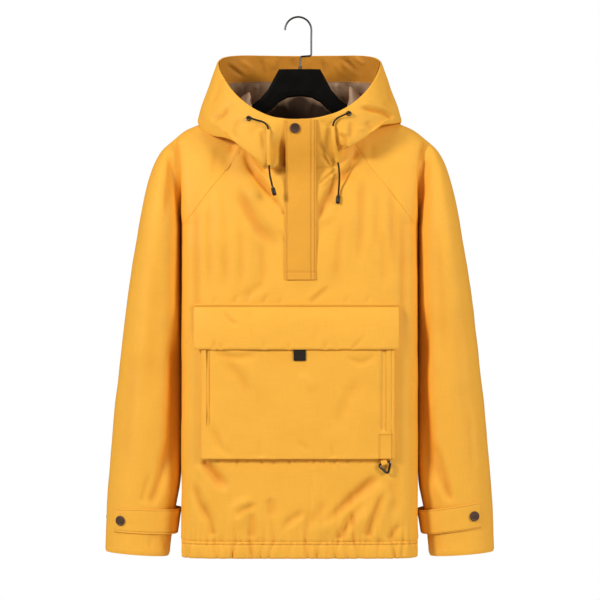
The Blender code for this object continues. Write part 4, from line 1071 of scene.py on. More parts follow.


# The second colour of each cloth finish is painted shade for its troughs; the lining's also paints the shade
# deep inside the hood.
SHELL = ClothFinish("shell_cloth", "shell_cloth", (0.87, 0.435, 0.045), (0.76, 0.315, 0.026))
PLACKET_CLOTH = ClothFinish("placket_cloth", "shell_cloth", (0.78, 0.36, 0.033), (0.66, 0.25, 0.014))
# The facing's finish is the shell cloth painted darker: painted shade for the inside of the hood, with a very
# dark painted shade in its troughs.
SHADED_FACING_CLOTH = ClothFinish("facing_cloth", "shell_cloth", (0.62, 0.255, 0.022), (0.26, 0.09, 0.007),
                           wrinkle=0.9)
LINING = ClothFinish("lining_cloth", "lining_cloth", (0.430, 0.280, 0.180), (0.050, 0.026, 0.014),
                     roughness=0.5, sheen=0.3, wrinkle=1.2)
THREAD = GrainFinish("sewing_thread", "shell_cloth", (0.40, 0.145, 0.012), (0.48, 0.19, 0.016),
                     roughness=0.6, scale=2500.0)
WEBBING = BraidFinish("black_webbing", "black_webbing", yarn=0.0016, roughness=0.75)
CORD = BraidFinish("black_cord", "black_cord")
TIP_PLASTIC = GrainFinish("tip_plastic", "cord_tip_plastic", (0.010, 0.007, 0.005), (0.022, 0.016, 0.012),
                          roughness=0.40, scale=1800.0, specular=0.35)
SNAP_METAL = GrainFinish("snap_metal", "snap_metal", (0.075, 0.040, 0.028), (0.11, 0.062, 0.044),
                         roughness=0.44, metallic=0.45, scale=1500.0, relief=0.15)
BLACK_METAL = GrainFinish("black_metal", "black_metal", (0.012, 0.011, 0.010), (0.035, 0.032, 0.03),
                          roughness=0.26, metallic=0.4, scale=1200.0, relief=0.06, coat=0.4)
HANGER_PLASTIC = GrainFinish("hanger_plastic", "hanger_plastic", (0.0030, 0.0030, 0.0026),
                             (0.0050, 0.0050, 0.0043), roughness=0.60, scale=1600.0, relief=0.22,
                             specular=0.05)
HOOK_STEEL = GrainFinish("hook_steel", "hook_steel", (0.035, 0.035, 0.034), (0.08, 0.078, 0.075),
                         roughness=0.38, metallic=0.8, scale=1200.0, relief=0.08)


# ---------------------------------------------------------------- stitching
@dataclass
class Stitching:
    """Rows of single stitches, gathered from the pieces they hold and made in one go."""

    pitch: float = 0.0036
    share: float = 0.72
    radius: float = 0.00034
    thick: tuple[float, float] = (0.16, 0.84)
    proud: float = 0.6
    rows: list[np.ndarray] = field(default_factory=list)

    def add(self, line: np.ndarray, lift: float = 0.0002) -> None:
        """Lay a row of stitches along a line of points and normals.

        Args:
            line: n x 6, points then normals.
            lift: How far the thread's middle stands off the cloth.
        """
        reach = reach_along(line[:, :3])
        starts = np.linspace(0.0, reach[-1] - self.pitch * self.share, max(2, int(reach[-1] / self.pitch)))
        ends = []
        for wanted in (starts, starts + self.pitch * self.share):
            at = read_rows(wanted, reach, line)
            at[:, :3] += at[:, 3:] * lift
            ends.append(at)
        self.rows.append(np.concatenate([ends[0][:, :3], ends[1]], axis=1))

    def build(self, name: str) -> bpy.types.Object:
        """Make every stitch: a short thread with pointed ends and four sides.

        Args:
            name: Name of the piece.

        Returns:
            The stitches as one object.
        """
        stitches = np.concatenate(self.rows)
        start, end, normal = stitches[:, :3], stitches[:, 3:6], stitches[:, 6:]
        along = end - start
        along /= np.maximum(np.linalg.norm(along, axis=1, keepdims=True), 1e-9)
        aside = np.cross(along, normal)
        corners = []
        for place in self.thick:
            middle = start + (end - start) * place + normal * self.radius * self.proud
            corners += [middle + (aside * math.cos(turn) + normal * math.sin(turn)) * self.radius
                        for turn in (0.0, math.pi / 2, math.pi, 3 * math.pi / 2)]
        points = np.stack([start - normal * self.radius, *corners, end - normal * self.radius], axis=1)
        ring = [(0, 1 + (step + 1) % 4, 1 + step) for step in range(4)]
        wall = [(1 + step, 1 + (step + 1) % 4, 5 + (step + 1) % 4, 5 + step) for step in range(4)]
        tip = [(9, 5 + step, 5 + (step + 1) % 4) for step in range(4)]
        faces = [tuple(10 * index + corner for corner in face)
                 for index in range(len(points)) for face in [*ring, *wall, *tip]]
        mesh = bpy.data.meshes.new(name)
        mesh.from_pydata((points.reshape(-1, 3) + (CENTRE_X, 0, 0)).tolist(), [], faces)
        mesh.shade_smooth()
        self.rows.clear()
        return dressed(name, mesh, THREAD)


# ---------------------------------------------------------------- body
@dataclass
class HemGathers:
    """Where the elastic pinches the cloth: uneven troughs that fade up into the body.

    pinches are (place, depth, fade) rows. small_depth, small_fade and apart are the
    least and the most that the small pinches between them have.
    """

    side: Side
    seed: int
    pinches: tuple[tuple[float, float, float], ...]
    width: float = 0.0032
    deepen: float = 1.25
    swell: float = 0.0013
    swell_pitch: float = 0.0105
    swell_fade: float = 0.016
    read_z: float = -0.85
    clear: float = 0.0060
    ends: tuple[float, float] = (0.006, 0.004)
    spread: float = 0.12
    wander: tuple[float, float] = (0.10, 190.0)
    wander_below: tuple[float, float] = (0.26, 410.0)
    ripple: tuple[float, float] = (0.5, 0.35)
    ripple_wander: tuple[float, float] = (1.9, 47.0)
    small_depth: tuple[float, float] = (0.0012, 0.0026)
    small_fade: tuple[float, float] = (0.008, 0.024)
    apart: tuple[float, float] = (0.0070, 0.0115)

    def __post_init__(self) -> None:
        """Fill the places between the deep pinches with small ones."""
        chance = np.random.default_rng(self.seed)
        self.rows = list(self.pinches)
        place = -FORM.side_x + self.ends[0]
        while place < FORM.side_x - self.ends[1]:
            if min(abs(place - deep) for deep, _, _ in self.pinches) > self.clear:
                self.rows.append((place, chance.uniform(*self.small_depth), chance.uniform(*self.small_fade)))
            place += chance.uniform(*self.apart)
        self.rows.sort()
        section = FORM.level(self.read_z, self.side)
        self.reach_at, self.x_at = reach_along(section), section[:, 0]

    def slant(self, place: float, above: np.ndarray, below: np.ndarray) -> np.ndarray:
        """How far a pinch leans aside over the casing's stitch line, and below it."""
        over, under = (wide * math.sin(place * often) for wide, often in (self.wander, self.wander_below))
        return (place * self.spread + over) * above + under * below

    def lift(self, x: np.ndarray, z: np.ndarray) -> np.ndarray:
        """How far the gathers move a place of this side out.

        Args:
            x: Place across.
            z: Height.

        Returns:
            The height at each place; below the casing's stitch line it no longer fades.
        """
        reach = np.interp(x, self.x_at, self.reach_at)
        above, below = np.maximum(z - FORM.hem_top_z, 0.0), np.minimum(z - FORM.hem_top_z, 0.0)
        total = np.zeros(np.broadcast(reach, above).shape)
        for place, depth, fade in self.rows:
            off = reach - np.interp(place, self.x_at, self.reach_at) - self.slant(place, above, below)
            total = total - self.deepen * depth * np.exp(-(off / self.width) ** 2) * np.exp(-above / fade)
        wander = self.ripple_wander[0] * np.sin(reach * self.ripple_wander[1] + self.seed)
        ripple = np.sin(reach * 2 * math.pi / self.swell_pitch + wander)
        swell = self.swell * (self.ripple[0] + self.ripple[1] * ripple)
        return total + swell * np.exp(-above / self.swell_fade)


FRONT_GATHERS = HemGathers(Side.FRONT, 5, metres(
    (-1790, 22, 200), (-1393, 28, 200), (-1249, 24, 300), (-1046, 36, 280), (-819, 34, 220), (-675, 22, 350),
    (-579, 26, 180), (-424, 34, 340), (-220, 22, 160), (91, 36, 420), (342, 30, 300), (629, 34, 380),
    (892, 42, 450), (1156, 24, 200), (1299, 34, 300), (1514, 30, 240), (1598, 24, 220), (1694, 30, 180)))
BACK_GATHERS = HemGathers(Side.BACK, 9, metres(
    (-1620, 30, 220), (-1310, 34, 340), (-980, 28, 200), (-700, 38, 400), (-330, 30, 260), (-60, 36, 340),
    (270, 28, 200), (560, 38, 420), (910, 30, 240), (1220, 34, 300), (1570, 28, 200)))


@dataclass
class BodyPanel:
    """The front or the back: between the raglan seams at the top, and down to the hem casing."""

    name: str
    side: Side
    creases: tuple[Crease, ...]
    gathers: HemGathers
    flat: tuple[float, float]
    flat_area: float
    step: float = 0.0030
    upper_rows: int = 64
    rows_power: float = 1.15
    corner_power: int = 8
    thickness: float = 0.0012
    seam_roll: float = 0.0058
    seam_depth: float = 0.0013
    neck_depth: float = 0.0003
    neck_hold: float = 0.010
    foot_roll: tuple[float, float] = (0.0030, 0.0012)
    seam_line: float = 0.0030
    seam_start: float = 0.004

    def grid(self) -> np.ndarray:
        """Rows from the neck down between the raglan seams, then to the hem casing.

        Returns:
            The points, row by row.
        """
        shares = FORM.section(self.step)
        seams = {hand: FORM.raglan_seam(self.side, hand, self.upper_rows) for hand in Hand}
        half = seams[Hand.RIGHT][0][0]
        neck = FORM.point(shares * half, FORM.neck_z(shares * half, self.side), self.side)
        rows = []
        for index in range(self.upper_rows + 1):
            level = (index / self.upper_rows) ** self.rows_power
            z = neck[:, 2] + (FORM.underarm_z - neck[:, 2]) * level
            z = z + (seams[Hand.RIGHT][index][2] - z[-1]) * np.abs(shares) ** self.corner_power
            row = FORM.point(shares * seams[Hand.RIGHT][index][0], z, self.side)
            row[0], row[-1] = seams[Hand.LEFT][index], seams[Hand.RIGHT][index]
            rows.append(row)
        height = FORM.underarm_z - FORM.hem_top_z
        for place in stations(height, self.step)[1:]:
            row = FORM.point(shares * FORM.side_x, FORM.underarm_z - place, self.side)
            row[0][1] = row[-1][1] = 0.0
            rows.append(row)
        return np.array(rows)

    def build(self, stitching: Stitching) -> None:
        """Crease the panel, gather its foot and sink its seams.

        Args:
            stitching: Takes the raglan seams' stitches.
        """
        sheet = Sheet(self.name + "_cloth", self.grid(), self.thickness, facing=(0, self.side, 0))
        before = sheet.points.copy()
        sheet.crease(self.creases)
        sheet.unevenness(*BODY_WAVES)
        sheet.hold(before, np.broadcast_to(ease(sheet.down / self.neck_hold)[:, None], sheet.bend.shape))
        sheet.push(self.gathers.lift(sheet.points[..., 0], sheet.points[..., 2]))
        sheet.roll("left right", self.seam_roll, self.seam_depth)
        sheet.roll("top", self.seam_roll, self.neck_depth)
        sheet.roll("bottom", *self.foot_roll)
        made = sheet.build(SHELL)
        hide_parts(self.name)
        seam_length = reach_along(FORM.raglan_seam(self.side, Hand.RIGHT, 40))[-1]
        for place in (self.seam_line, sheet.across[-1] - self.seam_line):
            stitching.add(sheet.line(1, place, self.seam_start, seam_length))


@dataclass
class HemBand:
    """The casing over the elastic: pinched all round, with a stitched top and a rolled foot.

    Its first rows lie tucked under the panels, tuck deep and above its top by tuck_rows.
    """

    name: str = "hem_band"
    step: float = 0.0023
    row_step: float = 0.0022
    thickness: float = 0.0017
    half_height_swell: float = 0.0016
    swell_power: float = 0.7
    tuck: float = 0.0032
    tuck_rows: tuple[float, float] = (0.0032, 0.0014)
    side_run: float = 0.004
    foot_share: float = 0.35
    line: float = 0.0069
    foot_mark: float = 0.0016
    wave: Wave = Wave(0.022, 0.0005, 4.2)
    foot_roll: tuple[float, float] = (0.0030, 0.0016)
    groove: tuple[float, float] = (0.0009, 0.0009)

    def row(self, down: float) -> np.ndarray:
        """One ring of the band a way down from its top, as points and how far each is moved out.

        Args:
            down: Way down from the top of the band.

        Returns:
            Points that have how far each is moved out as a fourth value.
        """
        height = FORM.hem_top_z - FORM.hem_z
        z = FORM.hem_top_z - down
        rise = math.sin(math.pi * np.clip(down / height, 0.0, 1.0))
        puff = self.half_height_swell * rise ** self.swell_power - (self.tuck if down < 0 else 0.0)
        x = FORM.section(self.step) * FORM.side_x
        slope = np.clip((FORM.side_x - np.abs(x)) / self.side_run, 0.0, 1.0)
        halves = []
        for side, gathers in ((Side.FRONT, FRONT_GATHERS), (Side.BACK, BACK_GATHERS)):
            lift = gathers.lift(x, np.full_like(x, z)) * (1 - self.foot_share * down / height) + puff
            point = FORM.point(x, z, side)
            point[(0, -1), 1] = 0.0
            halves.append(np.concatenate([point, (lift * ease(slope))[:, None]], axis=1))
        return np.concatenate([halves[0], halves[1][::-1][1:-1]])

    def build(self, stitching: Stitching) -> None:
        """Lay the band round both sides and gather it.

        Args:
            stitching: Takes the casing's stitches.
        """
        downs = stations(FORM.hem_top_z - FORM.hem_z, self.row_step, (self.foot_mark,))
        rows = np.array([self.row(down) for down in (*(-up for up in self.tuck_rows), *downs)])
        sheet = Sheet(self.name + "_cloth", rows[..., :3], self.thickness, wrapped=True)
        sheet.push(rows[..., 3])
        sheet.unevenness(self.wave)
        sheet.roll("bottom", *self.foot_roll)
        sheet.groove(0, self.line, *self.groove)
        made = sheet.build(SHELL)
        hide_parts(self.name)
        stitching.add(sheet.line(0, self.line))


# ---------------------------------------------------------------- sleeves
class FanRow(NamedTuple):
    """A ring of the right sleeve that turns about the armpit; its power is written in ten thousandths."""

    outer_x: float
    outer_z: float
    inner_x: float
    inner_z: float
    front: float
    back: float
    power: float


class TubeRow(NamedTuple):
    """A level ring of the hanging right sleeve."""

    z: float
    outer_x: float
    inner_x: float
    front: float
    back: float
    drop: float


@dataclass
class SleeveForm:
    """The rings both sleeves are laid through, written for the right one."""

    power: float = 0.36
    turn_step: float = 0.02
    fan: tuple[FanRow, ...] = named(
        FanRow,
        (2150, -2080, 1955, -3472, 400, 400, 6800), (2265, -2185, 1957, -3496, 520, 520, 5600),
        (2390, -2380, 1958, -3522, 630, 620, 4800), (2500, -2680, 1959, -3552, 710, 700, 4200),
        (2590, -3050, 1960, -3590, 760, 750, 3900), (2665, -3430, 1962, -3640, 790, 780, 3700))
    tube: tuple[TubeRow, ...] = named(
        TubeRow,
        (-3850, 2735, 1957, 800, 790, 0), (-4700, 2867, 1956, 780, 780, 0), (-5700, 2985, 1956, 740, 750, 0),
        (-6700, 3092, 1957, 690, 700, 0), (-7350, 3152, 1968, 640, 660, 0),
        (-7750, 3182, 1990, 605, 625, 10), (-8100, 3205, 2055, 560, 580, 20),
        (-8500, 3222, 2120, 520, 540, 40), (-8865, 3235, 2162, 500, 520, 80))

    def __post_init__(self) -> None:
        """Read the tube's table."""
        self.tube_at = table(self.tube, "z", "outer_x", "inner_x", "front", "back", "drop")

    def place(self, angle: np.ndarray, z: float, lift: np.ndarray = 0.0) -> tuple[np.ndarray, np.ndarray]:
        """A point and an outward way on the tube; angle 0 is outermost, pi/2 the front.

        Args:
            angle: Angles round the tube.
            z: Height.
            lift: How far out of the surface.

        Returns:
            The points and the unit ways out of the tube.
        """
        outer_x, inner_x, front_y, back_y, _ = self.tube_at(z)

        def point(at: np.ndarray) -> np.ndarray:
            """A point of the ring, as for the right sleeve.

            Args:
                at: Angles round the tube.

            Returns:
                The points.
            """
            t = (1 - np.cos(at)) / 2
            depth = np.where(np.sin(at) >= 0, -front_y, back_y) * (4 * t * (1 - t)) ** self.power
            return np.stack([outer_x + (inner_x - outer_x) * t, depth, z + 0 * t], axis=-1)

        here, way = point(angle), point(angle + self.turn_step) - point(angle - self.turn_step)
        normal = np.stack([-way[..., 1], way[..., 0], 0 * way[..., 2]], axis=-1)
        normal /= np.linalg.norm(normal, axis=-1, keepdims=True)
        return here + normal * np.asarray(lift)[..., None], normal


SLEEVE_FORM = SleeveForm()


@dataclass
class Sleeve:
    """One raglan sleeve, from the neck over the shoulder and down to the open cuff."""

    hand: Hand
    creases: tuple[Crease, ...]
    neck_steps: int = 22
    seam_steps: int = 50
    seam_rings: int = 40
    step: float = 0.0040
    rings_power: float = 0.8
    fan_step: float = 0.0032
    fan_column: int = 10
    thickness: float = 0.0012
    seam_roll: tuple[float, float] = (0.0042, 0.0011)
    cuff_roll: tuple[float, float] = (0.0030, 0.0013)

    def shares(self) -> np.ndarray:
        """Places round half a ring, from its outer or top end to its inner end."""
        return (1 - np.cos(np.linspace(0, math.pi, self.neck_steps + self.seam_steps + 1))) / 2

    def raglan_start(self, side: Side) -> np.ndarray:
        """Half of the first ring: along the neck seam, then down the raglan seam.

        Args:
            side: Front or back.

        Returns:
            The points, the neck first.
        """
        angles = self.hand * np.linspace(math.pi / 2, FORM.raglan_angle[side], self.neck_steps + 1)[:-1]
        neck = FORM.neck_point(angles)
        neck[0] = (self.hand * FORM.neck_half_width, 0.0, FORM.shoulder_z(FORM.neck_half_width))
        return np.concatenate([neck, FORM.raglan_seam(side, self.hand, self.seam_steps)])

    def valley(self, side: Side) -> np.ndarray:
        """Half of the ring in the valley beside the body, from the shoulder's tip to the armpit.

        Args:
            side: Front or back.

        Returns:
            The points, the tip of the shoulder first.
        """
        t = self.shares()
        z = FORM.crease_top_z + (FORM.crease_foot_z - FORM.crease_top_z) * t
        depth = side * FORM.crease_depth * (4 * t * (1 - t)) ** FORM.crease_power
        return np.stack([self.hand * FORM.crease_x(z), depth, z], axis=1)

    def shoulder_ring(self, side: Side, share: float) -> np.ndarray:
        """Half of a ring between the raglan seam and the valley, on the body's form.

        Args:
            side: Front or back.
            share: Way from the raglan seam to the valley, 0 to 1.

        Returns:
            The points.
        """
        start, end = self.raglan_start(side), self.valley(side)
        if share == 0:
            return start
        x = start[:, 0] + (end[:, 0] - start[:, 0]) * share
        drops = [FORM.shoulder_z(np.abs(line[:, 0])) - line[:, 2] for line in (start, end)]
        z = FORM.shoulder_z(np.abs(x)) - (drops[0] + (drops[1] - drops[0]) * share)
        row = FORM.point(x, z, side)
        row[0][1] = 0.0
        row[-1] = start[-1] + (end[-1] - start[-1]) * share
        return row

    def open_ring(self, side: Side, outer: Sequence[float], inner: Sequence[float], depth: float,
                  power: float) -> np.ndarray:
        """Half of a hanging ring, in the plane through an outer and an inner point.

        Args:
            side: Front or back.
            outer: The outermost point.
            inner: The innermost point.
            depth: How deep the half is.
            power: How square the half is.

        Returns:
            The points, the outermost first.
        """
        t = self.shares()[:, None]
        line = np.asarray(outer) + (np.asarray(inner) - np.asarray(outer)) * t
        line[:, 1] = (side * depth * (4 * t * (1 - t)) ** power)[:, 0]
        return line * (self.hand, 1, 1)

    def grid(self) -> np.ndarray:
        """Every ring from the raglan seam to the cuff.

        Returns:
            The points, ring by ring.
        """
        rings = []
        for share in np.linspace(0, 1, self.seam_rings + 1)[:-1] ** self.rings_power:
            rings.append([self.shoulder_ring(side, share) for side in Side])
        keys = [[self.valley(side) for side in Side]]
        for row in SLEEVE_FORM.fan:
            outer, inner = (row.outer_x, 0.0, row.outer_z), (row.inner_x, 0.0, row.inner_z)
            keys.append([self.open_ring(side, outer, inner, depth, row.power)
                         for side, depth in zip(Side, (row.front, row.back))])
        keys.append(self.tube_ring(SLEEVE_FORM.tube[0].z))
        keys = np.array(keys)
        reach = reach_along(keys[:, 0, self.fan_column])
        places = stations(reach[-1], self.fan_step)
        fan = profile(reach, keys.reshape(len(keys), -1))(places)
        rings += list(fan.reshape(len(places), *keys.shape[1:]))
        top, foot = SLEEVE_FORM.tube[0].z, SLEEVE_FORM.tube[-1].z
        rings += [self.tube_ring(top - place) for place in stations(top - foot, self.step)[1:]]
        return np.array([np.concatenate([ring[0], ring[1][-2:0:-1]]) for ring in rings])

    def tube_ring(self, z: float) -> list[np.ndarray]:
        """Both halves of one level ring; its inner side droops by the row's drop.

        Args:
            z: Height of the ring.

        Returns:
            The halves, the front first.
        """
        outer_x, inner_x, front_y, back_y, drop = SLEEVE_FORM.tube_at(z)
        outer, inner = (outer_x, 0.0, z), (inner_x, 0.0, z - drop)
        return [self.open_ring(side, outer, inner, depth, SLEEVE_FORM.power)
                for side, depth in zip(Side, (front_y, back_y))]

    def build(self) -> None:
        """Crease the sleeve and roll its seam and its cuff."""
        sheet = Sheet(f"sleeve_{self.hand.word}_cloth", self.grid(), self.thickness, wrapped=True)
        sheet.down = reach_along(sheet.points[:, sheet.points.shape[1] // 4])
        sheet.crease(self.creases)
        sheet.unevenness(*BODY_WAVES)
        sheet.roll("top", *self.seam_roll)
        sheet.roll("bottom", *self.cuff_roll)
        made = sheet.build(SHELL)
        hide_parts(*(f"sleeve_{self.hand.word}_{part}" for part in ("shoulder", "upper", "lower")))


# ---------------------------------------------------------------- hood
class HoodRow(NamedTuple):
    """A ring of the hood at a reach along the cloth from the neck seam."""

    reach: float
    half_width: float
    front_y: float
    back_y: float
    left_z: float
    right_z: float
    side_z: float
    back_z: float
    left_power: float
    right_power: float
    left_sag: float
    right_sag: float
    back_round: float


@dataclass
class HoodForm:
    """The soft form both hood halves, their facing and their lining follow."""

    plan_power: float = 2.25
    sag_power: float = 1.6
    seat: float = 0.0004
    underlay_rise: float = 0.0022
    front_bulge: float = 0.0060
    near: float = 0.0015
    flat_strip: dict[Hand, tuple[float, float]] = field(
        default_factory=lambda: {Hand.LEFT: (0.028, 0.044), Hand.RIGHT: (0.047, 0.065)})
    rows: tuple[HoodRow, ...] = (
        HoodRow(0.050, 0.1200, 0.090, 0.080, -0.280, -0.255, -0.1535, -0.228, 4.0, 3.2, 0.000, 0.000, 0.0),
        HoodRow(0.104, 0.1690, 0.098, 0.104, -0.288, -0.268, -0.1738, -0.300, 9.0, 7.0, 0.024, 0.005, 0.0),
        HoodRow(0.126, 0.1660, 0.104, 0.116, -0.262, -0.244, -0.1600, -0.280, 3.8, 3.2, 0.005, 0.001, 0.0),
        HoodRow(0.166, 0.1545, 0.107, 0.086, -0.222, -0.212, -0.1250, -0.118, 2.0, 2.0, 0.000, 0.000, 0.2),
        HoodRow(0.196, 0.1450, 0.104, 0.071, -0.196, -0.190, -0.0970, -0.083, 1.7, 1.7, 0.000, 0.000, 0.6),
        HoodRow(0.222, 0.1365, 0.098, 0.060, -0.1765, -0.1755, -0.0750, -0.0567, 1.6, 1.6, 0.000, 0.000, 1.0))

    def __post_init__(self) -> None:
        """Read the table once for each half."""
        shared = ("half_width", "front_y", "back_y")
        self.rings = {hand: table(self.rows, "reach", *shared, f"{hand.word}_z", "side_z", "back_z",
                                  f"{hand.word}_power", f"{hand.word}_sag", "back_round") for hand in Hand}

    @property
    def rim_reach(self) -> float:
        """The way along the cloth from the neck seam to the face rim."""
        return self.rows[-1].reach

    def ring_point(self, angle: np.ndarray, reach: np.ndarray, hand: Hand) -> np.ndarray:
        """A point on one of the table's rings, for the right half.

        Args:
            angle: Places round the half, 0 to pi.
            reach: Rows of the table, in whole numbers or between.
            hand: Left or right, for what differs between them.

        Returns:
            The points.
        """
        half_width, front_y, back_y, front_z, side_z, back_z, power, sag, back_round = np.moveaxis(
            self.rings[hand](reach), -1, 0)
        sine, cosine = np.sin(angle), np.cos(angle)
        share = np.abs(cosine) ** (2 / self.plan_power)
        x = half_width * np.abs(sine) ** (2 / self.plan_power)
        y = np.where(cosine > 0, -front_y, back_y) * share
        fall = (front_z - side_z) * share ** power - sag * np.sin(math.pi * share ** self.sag_power)
        level = share ** 2 + back_round * (1 - (1 - share) ** 2 - share ** 2)
        z = side_z + np.where(cosine > 0, fall, (back_z - side_z) * level)
        return np.stack([x, y, z], axis=-1)

    def point(self, angle: np.ndarray, reach: np.ndarray, hand: Hand) -> np.ndarray:
        """A point of the hood's outer surface.

        Args:
            angle: 0 at the centre front, pi at the centre back.
            reach: The way along the cloth from the neck seam.
            hand: The half.

        Returns:
            The point. Beside the placket the cloth runs straight up from the seam; further
            round it falls over the seam in a fold.
        """
        angle, reach = np.broadcast_arrays(np.asarray(angle, float), np.asarray(reach, float))
        first_reach = self.rows[0].reach
        neck = FORM.neck_point(angle)
        away = neck * (1, 1, 0)
        away = away / np.maximum(np.linalg.norm(away, axis=-1, keepdims=True), 1e-9)
        outward = away + np.array([0, 0, 1.0])
        seat = neck + outward * self.seat
        share = np.clip(reach / first_reach, 0, 1)[..., None]
        lower = seat + (self.ring_point(angle, np.full_like(reach, first_reach), hand) - seat) * share
        lower = lower + outward * self.underlay_rise * np.sin(math.pi * share)
        upper = self.ring_point(angle, np.maximum(reach, first_reach), hand)
        folded = np.where((reach < first_reach)[..., None], lower, upper)
        rim = self.ring_point(angle, np.full_like(reach, self.rim_reach), hand)
        rise = (reach / self.rim_reach)[..., None]
        straight = seat + (rim - seat) * rise + self.front_bulge * np.sin(math.pi * rise) * away
        flat_until, folds_from = self.flat_strip[hand]
        strip = 1 - ease((straight[..., 0] - flat_until) / (folds_from - flat_until))[..., None]
        strip = np.where((np.cos(angle) > 0)[..., None], strip, 0.0)
        return (folded + (straight - folded) * strip) * np.array([hand, 1, 1])

    def place(self, x: float, z: float, hand: Hand) -> tuple[np.ndarray, np.ndarray]:
        """The point and outward way at a place of the hood's outer front.

        Args:
            x: Place across.
            z: Height.
            hand: Left or right.

        Returns:
            The point and the unit way out of the hood.
        """
        angles, reaches = np.radians(np.linspace(4, 80, 240)), np.linspace(0, self.rim_reach, 240)
        grid = self.point(angles[:, None], reaches[None, :], hand)
        miss = np.hypot(grid[..., 0] - x, grid[..., 2] - z)
        depth = np.where(miss < max(self.near, miss.min()), grid[..., 1], np.inf)
        row, column = np.unravel_index(np.argmin(depth), depth.shape)
        at, step = np.array([angles[row], reaches[column]]), 1e-4
        for _ in range(8):
            here = self.point(at[0], at[1], hand)
            by_angle = (self.point(at[0] + step, at[1], hand) - here) / step
            by_reach = (self.point(at[0], at[1] + step, hand) - here) / step
            slope = np.array([[by_angle[0], by_reach[0]], [by_angle[2], by_reach[2]]])
            at = at + np.linalg.solve(slope, np.array([x - here[0], z - here[2]]))
        normal = np.cross(by_angle, by_reach)
        normal /= np.linalg.norm(normal)
        return here, normal if normal[1] < 0 else -normal


HOOD = HoodForm()


